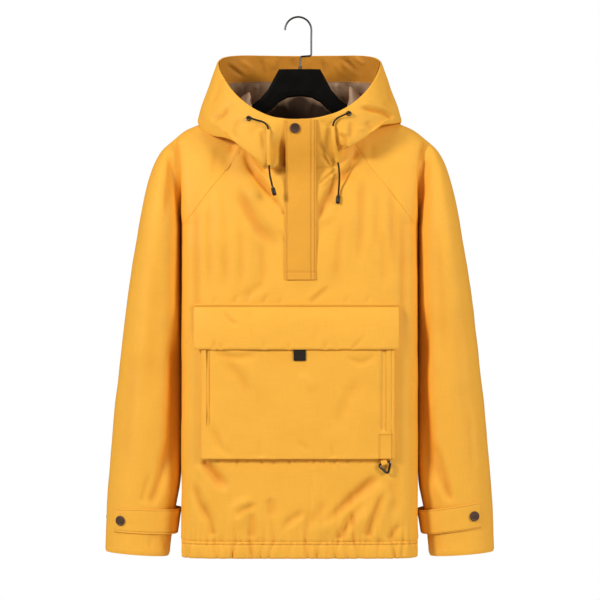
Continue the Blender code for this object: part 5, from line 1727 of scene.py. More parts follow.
@dataclass
class HoodHalf:
    """One half of the hood: its outer cloth, the facing at the rim and the lining below it."""

    hand: Hand
    creases: tuple[Crease, ...]
    facing_creases: tuple[Crease, ...]
    lining_creases: tuple[Crease, ...]
    angle_steps: int = 118
    widest_reach: float = 0.150
    step: float = 0.0021
    thickness: float = 0.0011
    facing_top: float = 0.222
    facing_foot: float = 0.180
    facing_thickness: float = 0.0009
    facing_line: float = 0.0028
    lining_thickness: float = 0.0008
    lining_gap: float = 0.0027
    side_hold: float = 0.012
    neck_hold: float = 0.012
    seam_tuck: tuple[float, float] = (0.0012, 0.0040)
    fold: tuple[float, float] = (0.080, 0.150)
    fold_bow: float = 0.006
    follows: float = math.radians(13.0)
    free: float = math.radians(24.0)
    tent_x: tuple[float, float] = (0.0860, 0.0165)
    tent_y: tuple[float, float] = (-0.006, 0.026)
    tent_from: float = 0.009
    tent_until: tuple[float, float] = (0.070, 0.050)
    tent_rise: float = 0.0220
    tent_drift: float = 0.0070
    tent_uneven: float = 0.25
    # Painted shade on the lining: shade gives the heights where it starts and where it is full, shade_slant
    # lowers them towards the sides, and shade_depth is the bend it is painted as.
    shade: tuple[float, float] = (-0.112, -0.128)
    shade_slant: float = 0.55
    shade_depth: float = 0.0075
    waves: tuple[Wave, ...] = (Wave(0.055, 0.0016, 23.1), Wave(0.024, 0.0006, 29.3))
    facing_wave: Wave = Wave(0.020, 0.0008, 31.7)
    lining_wave: Wave = Wave(0.040, 0.0012, 37.9)
    neck_roll: tuple[float, float] = (0.0050, 0.0006)
    rim_roll: tuple[float, float] = (0.0040, 0.0016)
    facing_roll: tuple[float, float] = (0.0026, 0.0007)

    def angles(self) -> np.ndarray:
        """Places round the half, at even distances along its widest ring.

        Returns:
            The angles, from the centre front to the centre back.
        """
        turns = np.linspace(0, math.pi, 721)
        ring = HOOD.point(turns, np.full_like(turns, self.widest_reach), self.hand)
        reach = reach_along(ring)
        return np.interp(np.linspace(0, reach[-1], self.angle_steps + 1), reach, turns)

    def reaches(self, low: float, high: float) -> np.ndarray:
        """Reaches of the rows between two reaches."""
        return low + stations(high - low, self.step)

    def square_edges(self, normals: np.ndarray) -> np.ndarray:
        """Normals that stay in the middle plane along the centre front and back.

        Args:
            normals: Unit normals of the grid.

        Returns:
            The changed normals.
        """
        normals = normals.copy()
        normals[:, (0, -1), 0] = 0.0
        return normals / np.linalg.norm(normals, axis=2, keepdims=True)

    def layer(self, name: str, reaches: np.ndarray, inner: float, thickness: float) -> Sheet:
        """A layer that lies inside the hood's outer face by a distance and shares its creases.

        Args:
            name: Name of the piece.
            reaches: Rows of the form.
            inner: How far inside the outer face.
            thickness: Thickness of its wall.

        Returns:
            The layer.
        """
        angles = self.angles()
        points = HOOD.point(angles[None, :], reaches[:, None], self.hand)
        sheet = Sheet(f"{name}_{self.hand.word}_cloth", points, thickness)
        held = ease(np.minimum(sheet.across, sheet.across[-1] - sheet.across) / self.side_hold)[None, :]
        held = held * ease(reaches / self.neck_hold)[:, None]
        before = sheet.points.copy()
        sheet.crease(self.creases)
        sheet.unevenness(*self.waves, shift=self.hand)
        sheet.hold(before, held)
        sheet.points -= self.square_edges(sheet.normals()) * inner
        if reaches[0] == 0.0:
            inward = sheet.points[0, :, :2] / np.linalg.norm(sheet.points[0, :, :2], axis=1, keepdims=True)
            sheet.points[0, :, :2] -= inward * self.seam_tuck[0]
            sheet.points[0, :, 2] -= self.seam_tuck[1]
        return sheet

    def outer(self) -> None:
        """The outer cloth, with its rolled rim."""
        sheet = self.layer("hood", self.reaches(0.0, HOOD.rim_reach), 0.0, self.thickness)
        sheet.roll("top", *self.neck_roll).roll("bottom", *self.rim_roll)
        made = sheet.build(SHELL)
        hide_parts(f"hood_{self.hand.word}")

    def facing(self, stitching: Stitching) -> None:
        """The strip of shell cloth inside the face rim, stitched along its lower edge. Its finish is painted
        darker as painted shade, and its troughs seen from inside are painted darker still.

        Args:
            stitching: Takes the stitches of the piece.
        """
        reaches = self.reaches(self.facing_foot, self.facing_top)
        sheet = self.layer("hood_facing", reaches, self.thickness + self.lining_gap, self.facing_thickness)
        sheet.bend[:] = 0.0
        sheet.crease(self.facing_creases)
        sheet.unevenness(self.facing_wave, shift=self.hand)
        # Painted shade follows the facing's own creases only, turned over so that the troughs as seen from
        # inside the hood take the deep colour.
        sheet.bend = -sheet.bend
        sheet.roll("top", *self.facing_roll)
        made = sheet.build(SHADED_FACING_CLOTH)
        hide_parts(f"hood_facing_{self.hand.word}")
        inside = sheet.line(0, self.facing_line)
        inside[:, :3] -= inside[:, 3:] * sheet.thickness
        inside[:, 3:] *= -1
        stitching.add(inside)

    def cut_across(self, points: np.ndarray, reaches: np.ndarray) -> None:
        """Let the lining leave the hood beside the placket and cut straight across its fold.

        Args:
            points: The points of the lining, changed in place.
            reaches: Their rows of the form.
        """
        low, high = np.searchsorted(reaches, self.fold)
        share = ((reaches[low:high] - reaches[low]) / (reaches[high] - reaches[low]))[:, None, None]
        across = points[low] + (points[high] - points[low]) * share
        bowed = self.fold_bow * np.sin(math.pi * share) * np.array([0.0, 0.0, 1.0])
        free = ease((self.angles() - self.follows) / (self.free - self.follows))[None, :, None]
        points[low:high] += (across + bowed - points[low:high]) * free

    def raise_tent(self, points: np.ndarray, reaches: np.ndarray) -> None:
        """Lift the loose fold of lining that stands beside the hanger.

        Args:
            points: The points of the lining, changed in place.
            reaches: Their rows of the form.
        """
        over_x, over_y = ((np.abs(points[..., 0]) - self.tent_x[0]) / self.tent_x[1],
                          (points[..., 1] - self.tent_y[0]) / self.tent_y[1])
        tent = np.exp(-over_x ** 2) * np.exp(-over_y ** 2)
        held = ease(reaches / self.tent_from) * ease((self.tent_until[0] - reaches) / self.tent_until[1])
        tent = tent * held[:, None]
        points[..., 2] += self.tent_rise * tent * (1.0 + self.tent_uneven * self.hand)
        points[..., 0] -= self.hand * self.tent_drift * tent

    def lining(self) -> None:
        """The lining, with painted shade in its troughs and a painted shade that grows the lower and nearer
        the middle it lies in the hood.
        """
        reaches = self.reaches(0.0, self.facing_foot - 0.0004)
        sheet = self.layer("hood_lining", reaches, self.thickness + self.lining_gap, self.lining_thickness)
        self.cut_across(sheet.points, reaches)
        self.raise_tent(sheet.points, reaches)
        sheet.bend[:] = 0.0
        sheet.crease(self.lining_creases)
        sheet.unevenness(self.lining_wave, shift=self.hand)
        # Painted shade: troughs seen from inside the hood are painted dark, and more shade is painted below
        # the shade heights, reaching higher near the middle where the hanger and the hood shade it.
        high, low = self.shade
        height = sheet.points[..., 2] + self.shade_slant * np.abs(sheet.points[..., 0])
        sheet.bend = -sheet.bend - self.shade_depth * ease((high - height) / (high - low))
        made = sheet.build(LINING)
        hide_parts(f"hood_lining_{self.hand.word}")

    def build(self, stitching: Stitching) -> None:
        """Make the three layers.

        Args:
            stitching: Takes the stitches of the piece.
        """
        self.outer()
        self.facing(stitching)
        self.lining()


# ---------------------------------------------------------------- sewn on pieces
@dataclass
class Placket:
    """The fly over the centre front, stitched along its free edge and one line further in."""

    left: float = -0.0222
    right: float = 0.0262
    top: float = -0.1760
    foot: float = -0.4375
    thickness: float = 0.0022
    rest: float = 0.0004
    edge_line: float = 0.0016
    inner_line: float = 0.0076
    foot_line: float = 0.0105
    edge_mark: float = 0.0018
    margin: float = 0.001
    step: float = 0.0019
    row_step: float = 0.0026
    waves: tuple[Wave, ...] = (Wave(0.034, 0.0007, 41.3), Wave(0.013, 0.00028, 43.9))
    edge_roll: tuple[float, float] = (0.0014, 0.0008)

    def __post_init__(self) -> None:
        """Measure how far out the cloth under the placket lies."""
        heights = np.linspace(self.foot, self.top, 40)
        xs = np.linspace(self.left, self.right, 7)
        depths = np.array([max(-FORM.point(xs, height, Side.FRONT)[:, 1]) for height in heights])
        angles, reaches = np.radians(np.linspace(0, 40, 60)), np.linspace(0, HOOD.rim_reach, 60)
        for hand in Hand:
            hood = HOOD.point(angles[:, None], reaches[None, :], hand).reshape(-1, 3)
            hood = hood[(hood[:, 0] > self.left - self.margin) & (hood[:, 0] < self.right + self.margin)]
            for index, height in enumerate(heights):
                near = hood[np.abs(hood[:, 2] - height) < 1.5 * (heights[1] - heights[0])]
                if len(near):
                    depths[index] = max(depths[index], max(-near[:, 1]))
        for _ in range(8):
            depths[1:-1] = np.maximum(depths[1:-1], (depths[:-2] + depths[2:]) / 2)
        self.heights, self.depths = heights, depths + self.rest

    def depth(self, z: np.ndarray) -> np.ndarray:
        """How far out the placket's back lies."""
        return np.interp(z, self.heights, self.depths)

    def build(self, stitching: Stitching) -> None:
        """Lay the fly, sink its stitch lines and turn its edges.

        Args:
            stitching: Takes the stitches of the piece.
        """
        width = self.right - self.left
        marks = (width - self.inner_line, width - self.edge_line, self.edge_line)
        across = stations(width, self.step, marks)
        height = self.top - self.foot
        down = stations(height, self.row_step,
                        (self.edge_mark, height - self.foot_line, height - self.edge_mark))
        x, z = np.meshgrid(self.left + across, self.top - down)
        points = np.stack([x, -self.depth(z) - self.thickness, z], axis=-1)
        sheet = Sheet("placket_cloth", points, self.thickness - WALL_GAP, facing=(0, -1, 0))
        sheet.unevenness(*self.waves)
        for place in marks:
            sheet.groove(1, place)
        sheet.groove(0, height - self.foot_line)
        sheet.roll("left right top bottom", *self.edge_roll)
        made = sheet.build(PLACKET_CLOTH)
        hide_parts("placket")
        for place in marks:
            stitching.add(sheet.line(1, place))
        stitching.add(sheet.line(0, height - self.foot_line))


@dataclass
class Pocket:
    """The kangaroo pocket: its face, the bellows round it, the flap over it and its pull tab."""

    left: float = -0.1606
    right: float = 0.1554
    top: float = -0.5150
    foot: float = -0.7292
    stand: float = 0.0090
    slit: tuple[float, float] = (-0.1520, -0.1485)
    slit_foot: float = -0.6754
    bar: tuple[float, float] = (0.1318, 0.1419)
    bar_foot: float = -0.6852
    flap_x: tuple[float, float] = (-0.1735, 0.1626)
    flap_rows: tuple[float, float] = (-0.4765, -0.5506)
    flap_thickness: float = 0.0022
    flap_stand: float = 0.0140
    flap_sewn: float = 0.0036
    flap_line: float = 0.0040
    flap_swing: float = 2.6
    flap_lift: float = 0.0008
    flap_steps: tuple[float, float] = (0.0025, 0.0021)
    flap_mark: float = 0.0020
    tab_x: tuple[float, float] = (-0.0098, 0.0101)
    tab_z: tuple[float, float] = (-0.5690, -0.5400)
    patch: tuple[float, ...] = (0.1296, 0.1515, -0.6890, -0.7290)
    patch_steps: int = 16
    patch_lift: float = 0.0003
    line_gaps: tuple[float, ...] = (0.0018, 0.0014, 0.0028)
    foot_mark: float = 0.0020
    hair: float = 1e-6
    thickness: float = 0.0012
    step: float = 0.0027
    clear: float = 0.0009
    bar_edge: float = 0.0012
    bar_fade: float = 0.004
    bar_sunk: float = 0.0026
    face_waves: tuple[Wave, ...] = (Wave(0.060, 0.0012, 47.1), Wave(0.022, 0.0005, 53.3))
    face_roll: tuple[float, float] = (0.0018, 0.0009)
    flap_waves: tuple[Wave, ...] = (Wave(0.040, 0.0010, 59.9), Wave(0.015, 0.00032, 61.7))
    flap_roll: tuple[float, float] = (0.0022, 0.0012)
    flap_top_roll: tuple[float, float] = (0.0012, 0.0006)
    flap_groove: tuple[float, float] = (0.0018, 0.0014)
    tab_roll: tuple[float, float] = (0.0011, 0.0006)
    tab_lift: float = 0.0020
    tab_steps: tuple[float, float] = (0.0016, 0.0020)
    tab_thickness: float = 0.0013
    gusset_corner: float = 0.012
    gusset_cut: float = 0.003
    gusset_steps: tuple[int, int, int] = (72, 9, 108)
    gusset_thickness: float = 0.0006
    gusset_rows: tuple[tuple[float, float], ...] = metres(
        (10, 4), (3, 16), (2, 30), (9, 42), (2, 54), (4, 66), (16, 74), (60, 74), (150, 72))

    def columns(self, low: float, high: float, step: float, marks: Sequence[float] = ()) -> np.ndarray:
        """Places across at even distances, with the marks given as places."""
        return low + stations(high - low, step, [mark - low for mark in marks])

    def face(self, stitching: Stitching) -> None:
        """The pocket's face with its hand slit, its bar and its stitch lines.

        Args:
            stitching: Takes the stitches of the piece.
        """
        past_slit, past_bar, before_edge = self.line_gaps
        lines = (self.slit[1] + past_slit, self.bar[1] + past_bar, self.right - before_edge)
        line_feet = (self.slit_foot, self.bar_foot, self.foot)
        across = self.columns(self.left, self.right, self.step, lines)
        edges = np.array([*self.slit, *self.bar])
        across = across[np.min(np.abs(across[:, None] - edges), axis=1) > self.clear]
        across = np.sort(np.concatenate([across, edges, [sum(self.slit) / 2]]))
        down = self.columns(0.0, self.top - self.foot, self.step, (self.top - self.foot - self.foot_mark,))
        down = down[np.abs(down - (self.top - self.slit_foot)) > self.clear]
        down = np.sort(np.append(down, self.top - self.slit_foot))
        x, z = np.meshgrid(across, self.top - down)
        slit_columns = [index for index, place in enumerate(across[:-1])
                        if self.slit[0] - self.hair <= place < self.slit[1] - self.hair]
        slit_rows = int(np.searchsorted(down, self.top - self.slit_foot))
        holes = frozenset((row, column) for row in range(slit_rows) for column in slit_columns)
        bar = ease((x - self.bar[0]) / self.bar_edge) * ease((self.bar[1] - x) / self.bar_edge)
        bar = bar * ease((z - self.bar_foot) / self.bar_fade)
        points = FORM.point(x, z, Side.FRONT, self.stand - self.bar_sunk * bar)
        sheet = Sheet("pocket_face_cloth", points, self.thickness, facing=(0, -1, 0), holes=holes)
        sheet.crease(FACE_CREASES)
        sheet.unevenness(*self.face_waves)
        for place, foot in zip(lines, line_feet):
            sheet.groove(1, place - self.left, end=self.top - foot)
        sheet.roll("left right bottom", *self.face_roll)
        made = sheet.build(SHELL)
        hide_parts("pocket_front")
        for place, foot in zip(lines, line_feet):
            stitching.add(sheet.line(1, place - self.left, 0.0, self.top - foot), 0.0)
        left, right, top, foot = self.patch
        corners = [(left, top), (right, top), (right, foot), (left, foot), (left, top)]
        for start, end in zip(corners, corners[1:]):
            x, z = evenly(np.array([start, end]), self.patch_steps).T
            line = FORM.point(x, z, Side.FRONT, self.stand + self.patch_lift)
            stitching.add(np.concatenate([line, np.tile((0.0, -1.0, 0.0), (len(line), 1))], axis=1))

    def gusset(self) -> None:
        """The bellows: a strip that rises at the pocket's edge and turns in under its face."""
        corner, cut = self.gusset_corner, self.gusset_cut
        upright, round_corner, level = self.gusset_steps
        bend = []
        for turn in np.linspace(0, math.pi / 2, round_corner):
            sine, cosine = math.sin(turn), math.cos(turn)
            rise = cut * (1 - sine) + corner * (1 - turn / (math.pi / 2))
            bend.append((cut * (1 - cosine), self.foot + rise, cosine, sine))
        sides = np.linspace(self.top, self.foot + corner, upright)[:-1]
        path = [(self.left, z, 1.0, 0.0) for z in sides]
        path += [(self.left + x, z, in_x, in_z) for x, z, in_x, in_z in bend]
        feet = np.linspace(self.left + corner, self.right - corner, level)
        path += [(x, self.foot, 0.0, 1.0) for x in feet]
        path += [(self.right - x, z, -in_x, in_z) for x, z, in_x, in_z in reversed(bend)]
        path += [(self.right, z, -1.0, 0.0) for z in reversed(sides)]
        rows = []
        for inward, lift in self.gusset_rows:
            places = np.array([(x + inward * in_x, z + inward * in_z) for x, z, in_x, in_z in path])
            rows.append(FORM.point(places[:, 0], places[:, 1], Side.FRONT, lift))
        sheet = Sheet("pocket_gusset_cloth", np.array(rows), self.gusset_thickness, facing=(0, -1, 0))
        made = sheet.build(SHELL)
        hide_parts("pocket_gusset")

    def flap(self, stitching: Stitching) -> None:
        """The flap, sewn down along its top edge and standing over the pocket below.

        Args:
            stitching: Takes the stitches of the piece.
        """
        left, right = self.flap_x
        step, row_step = self.flap_steps
        across = self.columns(left, right, step, (left + self.flap_mark, right - self.flap_mark))
        height = self.flap_rows[0] - self.flap_rows[1]
        down = stations(height, row_step, (self.flap_line,))
        x, z = np.meshgrid(across, self.flap_rows[0] - down)
        sewn = self.flap_lift + self.flap_thickness
        share = np.clip((down - self.flap_sewn) / (height - self.flap_sewn), 0.0, 1.0)
        stand = sewn + (self.flap_stand - sewn) * (1.0 - (1.0 - share) ** self.flap_swing)
        points = FORM.point(x, z, Side.FRONT, stand[:, None])
        sheet = Sheet("pocket_flap_cloth", points, self.flap_thickness - WALL_GAP, facing=(0, -1, 0))
        sheet.crease(FLAP_CREASES)
        sheet.unevenness(*self.flap_waves)
        sheet.groove(0, self.flap_line, *self.flap_groove)
        sheet.roll("left right bottom", *self.flap_roll).roll("top", *self.flap_top_roll)
        made = sheet.build(SHELL)
        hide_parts("pocket_flap")
        stitching.add(sheet.line(0, self.flap_line))

    def tab(self) -> None:
        """The webbing tab that shows under the flap, on the pocket's face."""
        across = stations(self.tab_x[1] - self.tab_x[0], self.tab_steps[0])
        down = stations(self.tab_z[1] - self.tab_z[0], self.tab_steps[1])
        x, z = np.meshgrid(self.tab_x[0] + across, self.tab_z[1] - down)
        points = FORM.point(x, z, Side.FRONT, self.stand + self.tab_lift)
        sheet = Sheet("pocket_tab_cloth", points, self.tab_thickness, facing=(0, -1, 0))
        sheet.roll("left right bottom", *self.tab_roll)
        made = sheet.build(WEBBING)
        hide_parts("pocket_tab")

    def build(self, stitching: Stitching) -> None:
        """Make the four pieces.

        Args:
            stitching: Takes the stitches of the piece.
        """
        self.face(stitching)
        self.gusset()
        self.flap(stitching)
        self.tab()


@dataclass
class CuffStrap:
    """A strap round one cuff: snapped at the front, slack on the side by the body."""

    hand: Hand
    outer_top: float
    inner_top: float
    outer_height: float
    inner_height: float
    start: float
    snap: float
    end: float = math.radians(330.0)
    lift: float = 0.0028
    slack: float = 0.0070
    slack_spread: float = 0.75
    form_height: float = 0.041
    turn_steps: int = 400
    step: float = 0.0026
    row_step: float = 0.0024
    thickness: float = 0.0014
    lines: tuple[float, float] = (0.0022, 0.0388)
    line_depth: float = 0.0005
    waves: tuple[Wave, ...] = (Wave(0.030, 0.0006, 67.3), Wave(0.012, 0.00025, 71.9))
    edge_roll: tuple[float, float] = (0.0015, 0.0008)

    def edge(self, turn: np.ndarray) -> tuple[np.ndarray, np.ndarray]:
        """The strap's top edge and its height at a turn round the sleeve.

        Args:
            turn: Angles round the sleeve.

        Returns:
            The level of the top edge and the height of the strap.
        """
        share = (1 - np.cos(turn)) / 2
        top = self.outer_top + (self.inner_top - self.outer_top) * share
        return top, self.outer_height + (self.inner_height - self.outer_height) * share

    def build(self, stitching: Stitching) -> None:
        """Lay the strap round the sleeve and stitch its long edges.

        Args:
            stitching: Takes the stitches of the piece.
        """
        turns = np.linspace(self.start, self.end, self.turn_steps)
        middle = (self.outer_top + self.inner_top) / 2
        slack = self.slack * np.exp(-((turns - math.pi) / self.slack_spread) ** 2)
        upper, normal = SLEEVE_FORM.place(turns, middle)
        lower, _ = SLEEVE_FORM.place(turns, middle - self.form_height)
        top, height = self.edge(turns)
        reach = reach_along(upper)
        places = stations(reach[-1], self.step, (self.lines[0], reach[-1] - self.lines[0]))
        picks = np.interp(places, reach, np.arange(len(turns)))
        rows = []
        for level in stations(self.form_height, self.row_step, self.lines) / self.form_height:
            ring = upper + (lower - upper) * level + normal * (self.lift + slack)[:, None]
            ring[:, 2] = top - height * level
            rows.append(read_rows(picks, np.arange(len(turns)), ring))
        points = np.array(rows) * (self.hand, 1, 1)
        sheet = Sheet(f"cuff_strap_{self.hand.word}_cloth", points, self.thickness)
        sheet.unevenness(*self.waves, shift=self.hand)
        for place in self.lines:
            sheet.groove(0, place, self.line_depth)
        sheet.roll("left right top bottom", *self.edge_roll)
        made = sheet.build(SHELL)
        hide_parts(f"cuff_strap_{self.hand.word}")
        for place in self.lines:
            stitching.add(sheet.line(0, place), 0.0)


# ---------------------------------------------------------------- cords
@dataclass
class Drawcord:
    """A braided cord from its eyelet over the hood, down its tunnel and free to its tip."""

    hand: Hand
    route: tuple[tuple[float, float, float], ...]
    tunnel: tuple[float, float]
    radius: float = 0.0015
    sides: int = 12
    step: float = 0.0012
    curve_steps: int = 400
    tip_start: float = 0.0004
    strip_step: float = 0.0017
    strip_thickness: float = 0.0007
    strip_wave: Wave = Wave(0.009, 0.0004, 83.3)
    strip_roll: tuple[float, float] = (0.0012, 0.0006)
    arch: tuple[tuple[float, float], ...] = metres(
        (-37, -16), (-36, -2), (-32, 12), (-22, 24), (-8, 28), (8, 28), (22, 24), (32, 12), (36, -2),
        (37, -16))
    tip_rows: tuple[tuple[float, float], ...] = metres(
        (0, 17), (3, 22), (10, 25), (20, 33), (30, 34), (36, 31), (42, 34), (110, 34), (128, 31), (137, 25),
        (140, 14))

    def line(self) -> np.ndarray:
        """The cord's centreline, as a smooth curve through its route."""
        route = np.array(self.route)
        return profile(np.arange(len(route)), route)(np.linspace(0, len(route) - 1, self.curve_steps))

    def frames(self, line: np.ndarray) -> tuple[np.ndarray, np.ndarray, np.ndarray]:
        """Along, out and across at each point of a line.

        Args:
            line: The points of the line.

        Returns:
            Three unit ways at each point.
        """
        along = np.gradient(line, axis=0)
        along /= np.linalg.norm(along, axis=1, keepdims=True)
        out = np.array([0.0, -1.0, 0.0]) + along * along[:, 1:2]
        out /= np.linalg.norm(out, axis=1, keepdims=True)
        return along, out, np.cross(out, along)

    def cord(self) -> None:
        """The cord itself, as a tube with the braid's flat coordinates."""
        line = self.line()
        centre = evenly(line, round(reach_along(line)[-1] / self.step))
        _, out, across = self.frames(centre)
        turns = np.linspace(0, 2 * math.pi, self.sides, endpoint=False)
        rings = centre[:, None] + self.radius * (out[:, None] * np.cos(turns)[None, :, None]
                                                 + across[:, None] * np.sin(turns)[None, :, None])
        count, sides = len(centre), self.sides
        index = np.arange(count * sides).reshape(count, sides)
        following = np.roll(index, -1, axis=1)
        walls = np.stack([index[:-1], following[:-1], following[1:], index[1:]], axis=-1)
        faces = walls.reshape(-1, 4).tolist()
        faces += [tuple(range(sides))[::-1], tuple(range((count - 1) * sides, count * sides))]
        mesh = bpy.data.meshes.new(f"drawcord_{self.hand.word}_braid")
        mesh.from_pydata((rings.reshape(-1, 3) + (CENTRE_X, 0, 0)).tolist(), [], faces)
        layer = mesh.uv_layers.new(name="cloth")
        reach = reach_along(centre)
        for polygon in mesh.polygons:
            corners = [divmod(index, sides) for index in polygon.vertices]
            wraps = max(step for _, step in corners) - min(step for _, step in corners) > sides / 2
            for loop, (row, step) in zip(polygon.loop_indices, corners):
                turn = step + sides if wraps and step < sides / 2 else step
                layer.data[loop].uv = (turn / sides * 2 * math.pi * self.radius, reach[row])
        mesh.shade_smooth()
        mesh.set_sharp_from_angle(angle=math.radians(60.0))
        made = dressed(mesh.name, mesh, CORD)
        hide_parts(f"drawcord_{self.hand.word}")

    def strip(self) -> None:
        """The narrow arched strip that holds the cord down beside the placket."""
        top, foot = self.tunnel
        line = self.line()
        line = line[(line[:, 2] < top) & (line[:, 2] > foot)]
        line = evenly(line, round(reach_along(line)[-1] / self.strip_step))
        _, out, across = self.frames(line)
        rows = [[point + sideways * place + outward * rise for place, rise in self.arch]
                for point, sideways, outward in zip(line, across, out)]
        name, wall = f"tunnel_{self.hand.word}_cloth", self.strip_thickness
        sheet = Sheet(name, np.array(rows), wall, facing=(0, -1, 0))
        sheet.unevenness(self.strip_wave, shift=self.hand)
        sheet.roll("top bottom", *self.strip_roll)
        made = sheet.build(SHELL)
        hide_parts(f"tunnel_{self.hand.word}")

    def tip(self) -> None:
        """The moulded end: a capped barrel with a ring round its neck."""
        line = self.line()
        way = Vector(line[-1] - line[-8]).normalized()
        turned = Turned(f"cord_tip_{self.hand.word}_moulded", self.tip_rows, TIP_PLASTIC, sides=28)
        made = turned.build(Vector(line[-1]) + way * self.tip_start, way)
        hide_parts(f"cord_tip_{self.hand.word}")

    def build(self) -> None:
        """Make the cord, its strip and its tip."""
        self.tip()
        self.cord()
        self.strip()


# ---------------------------------------------------------------- hard pieces
@dataclass
class Turned:
    """A round piece raised ring by ring from a disc: rows are (height, radius)."""

    name: str
    rows: tuple[tuple[float, float], ...]
    finish: Finish
    sides: int = 48
    sharp: float = 40.0

    def build(self, point: Sequence[float], way: Sequence[float]) -> bpy.types.Object:
        """Shape the piece and stand it on a point.

        Args:
            point: Where its first ring's middle lies, from the garment's centre line.
            way: The way its rings rise.

        Returns:
            The new object.
        """
        bpy.ops.object.select_all(action="DESELECT")
        height, radius = self.rows[0]
        bpy.ops.mesh.primitive_circle_add(vertices=self.sides, radius=radius, fill_type="NGON")
        shaped = bpy.context.object
        bpy.ops.object.mode_set(mode="EDIT")
        bpy.ops.mesh.select_all(action="SELECT")
        for next_height, next_radius in self.rows[1:]:
            bpy.ops.mesh.extrude_region_move(TRANSFORM_OT_translate={"value": (0, 0, next_height - height)})
            share = next_radius / radius
            bpy.ops.transform.resize(value=(share, share, 1.0))
            height, radius = next_height, next_radius
        bpy.ops.mesh.select_all(action="SELECT")
        bpy.ops.mesh.normals_make_consistent(inside=False)
        bpy.ops.object.mode_set(mode="OBJECT")
        return settle(shaped, self.name, point, way, self.finish, self.sharp)


def settle(shaped: bpy.types.Object, name: str, point: Sequence[float], way: Sequence[float], finish: Finish,
           sharp: float = 40.0, body: str = BODY) -> bpy.types.Object:
    """Move a piece shaped at the origin to its place, and finish it.

    Args:
        shaped: The object a primitive made.
        name: Its name from now on.
        point: Its place from the garment's centre line.
        way: Where its own +Z points.
        finish: The finish it wears.
        sharp: Edges above this angle, in degrees, stay sharp.
        body: The body it rides on.

    Returns:
        The finished object.
    """
    mesh = shaped.data
    bpy.data.objects.remove(shaped)
    turn = Vector((0, 0, 1)).rotation_difference(Vector(way).normalized()).to_matrix().to_4x4()
    mesh.transform(Matrix.Translation(Vector(point) + Vector((CENTRE_X, 0, 0))) @ turn)
    mesh.name = name
    mesh.shade_smooth()
    mesh.set_sharp_from_angle(angle=math.radians(sharp))
    return dressed(name, mesh, finish, body)


CAP_RADIUS = 0.0083
CAP_ROWS = (
    (0.0000, 0.0074), (0.0004, 0.0080), (0.0010, CAP_RADIUS), (0.0016, 0.0082), (0.0021, 0.0077),
    (0.0024, 0.0070), (0.0023, 0.0066), (0.0021, 0.0060), (0.00215, 0.0050), (0.0022, 0.0030),
    (0.00222, 0.0010))


@dataclass
class Snap:
    """A press snap: a capped button with a rolled rim, or a small plain stud."""

    node: str
    point: Sequence[float]
    normal: Sequence[float]
    radius: float = CAP_RADIUS
    lift: float = 0.0004
    least_tall: float = 0.6

    def build(self) -> None:
        """Scale the cap's outline to the snap's radius and stand it on the cloth."""
        share = self.radius / CAP_RADIUS
        tall = self.least_tall + (1.0 - self.least_tall) * share
        rows = tuple((height * tall, radius * share) for height, radius in CAP_ROWS)
        start = Vector(self.point) + Vector(self.normal).normalized() * self.lift
        made = Turned(f"{self.node}_cap", rows, SNAP_METAL).build(start, self.normal)
        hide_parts(self.node)


@dataclass
class Eyelet:
    """A small metal ring round the hole where a drawcord comes out."""

    hand: Hand
    x: float
    z: float
    radius: float = 0.0046
    wire: float = 0.0010
    flat: float = 0.8
    lift: float = 0.0004

    def build(self) -> None:
        """Lay a flattened torus on the hood."""
        point, normal = HOOD.place(self.x, self.z, self.hand)
        bpy.ops.object.select_all(action="DESELECT")
        bpy.ops.mesh.primitive_torus_add(major_segments=40, minor_segments=12,
                                         major_radius=self.radius - self.wire, minor_radius=self.wire)
        shaped = bpy.context.object
        bpy.ops.object.mode_set(mode="EDIT")
        bpy.ops.mesh.select_all(action="SELECT")
        bpy.ops.transform.resize(value=(1.0, 1.0, self.flat))
        bpy.ops.object.mode_set(mode="OBJECT")
        start = Vector(point) + Vector(normal) * (self.lift + self.wire)
        made = settle(shaped, f"eyelet_{self.hand.word}_ring", start, normal, BLACK_METAL, 60.0)
        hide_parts(f"eyelet_{self.hand.word}")


def refinish(node: str, finish: Finish) -> None:
    """Give a solid that is carried over a better finish.

    Args:
        node: Name of the solid.
        finish: The finish it takes.
    """
    made = bpy.data.objects[node]
    made.data.materials.clear()
    made.data.materials.append(finish.material())


@dataclass
class RingLoop:
    """The tape loop under the pocket's bottom edge that the ring hangs in."""

    x: float = 0.1382
    z: float = -0.7362
    wire: float = 0.0020
    tilt: float = math.radians(18.0)
    width: float = 0.0100
    wall: float = 0.0010
    clear: float = 0.0005
    stand: float = 0.0014
    edge_roll: tuple[float, float] = (0.0013, 0.0004)
    wrap: tuple[float, float] = (-210.0, 30.0)
    sewn_end: tuple[tuple[float, float], ...] = metres((14, 60), (0, 64), (-14, 60))

    def build(self) -> None:
        """Wrap the tape round the ring's bar."""
        radius = self.wire + self.clear + self.wall
        y = FORM.point(self.x, self.z, Side.FRONT)[1] - radius - self.stand
        axis = Vector((math.cos(self.tilt), 0, math.sin(self.tilt)))
        up = Vector((0, 1, 0)).cross(axis) * -1
        outline = [(radius * math.cos(turn), radius * math.sin(turn))
                   for turn in np.radians(np.linspace(*self.wrap, 33))]
        outline += self.sewn_end
        rows = []
        for share in np.linspace(-0.5, 0.5, 9):
            start = Vector((self.x, y, self.z)) + axis * (self.width * share)
            rows.append([start + Vector((0, 1, 0)) * across + up * rise for across, rise in outline])
        sheet = Sheet("ring_loop_tape", np.array(rows), self.wall - WALL_GAP, wrapped=True)
        sheet.roll("top bottom", *self.edge_roll)
        made = sheet.build(SHELL)
        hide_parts("ring_loop")


# ---------------------------------------------------------------- the studio
class Light(NamedTuple):
    """A soft square light: its place, its size, its power and its colour."""

    name: str
    place: tuple[float, float, float]
    size: float
    power: float
    colour: Colour


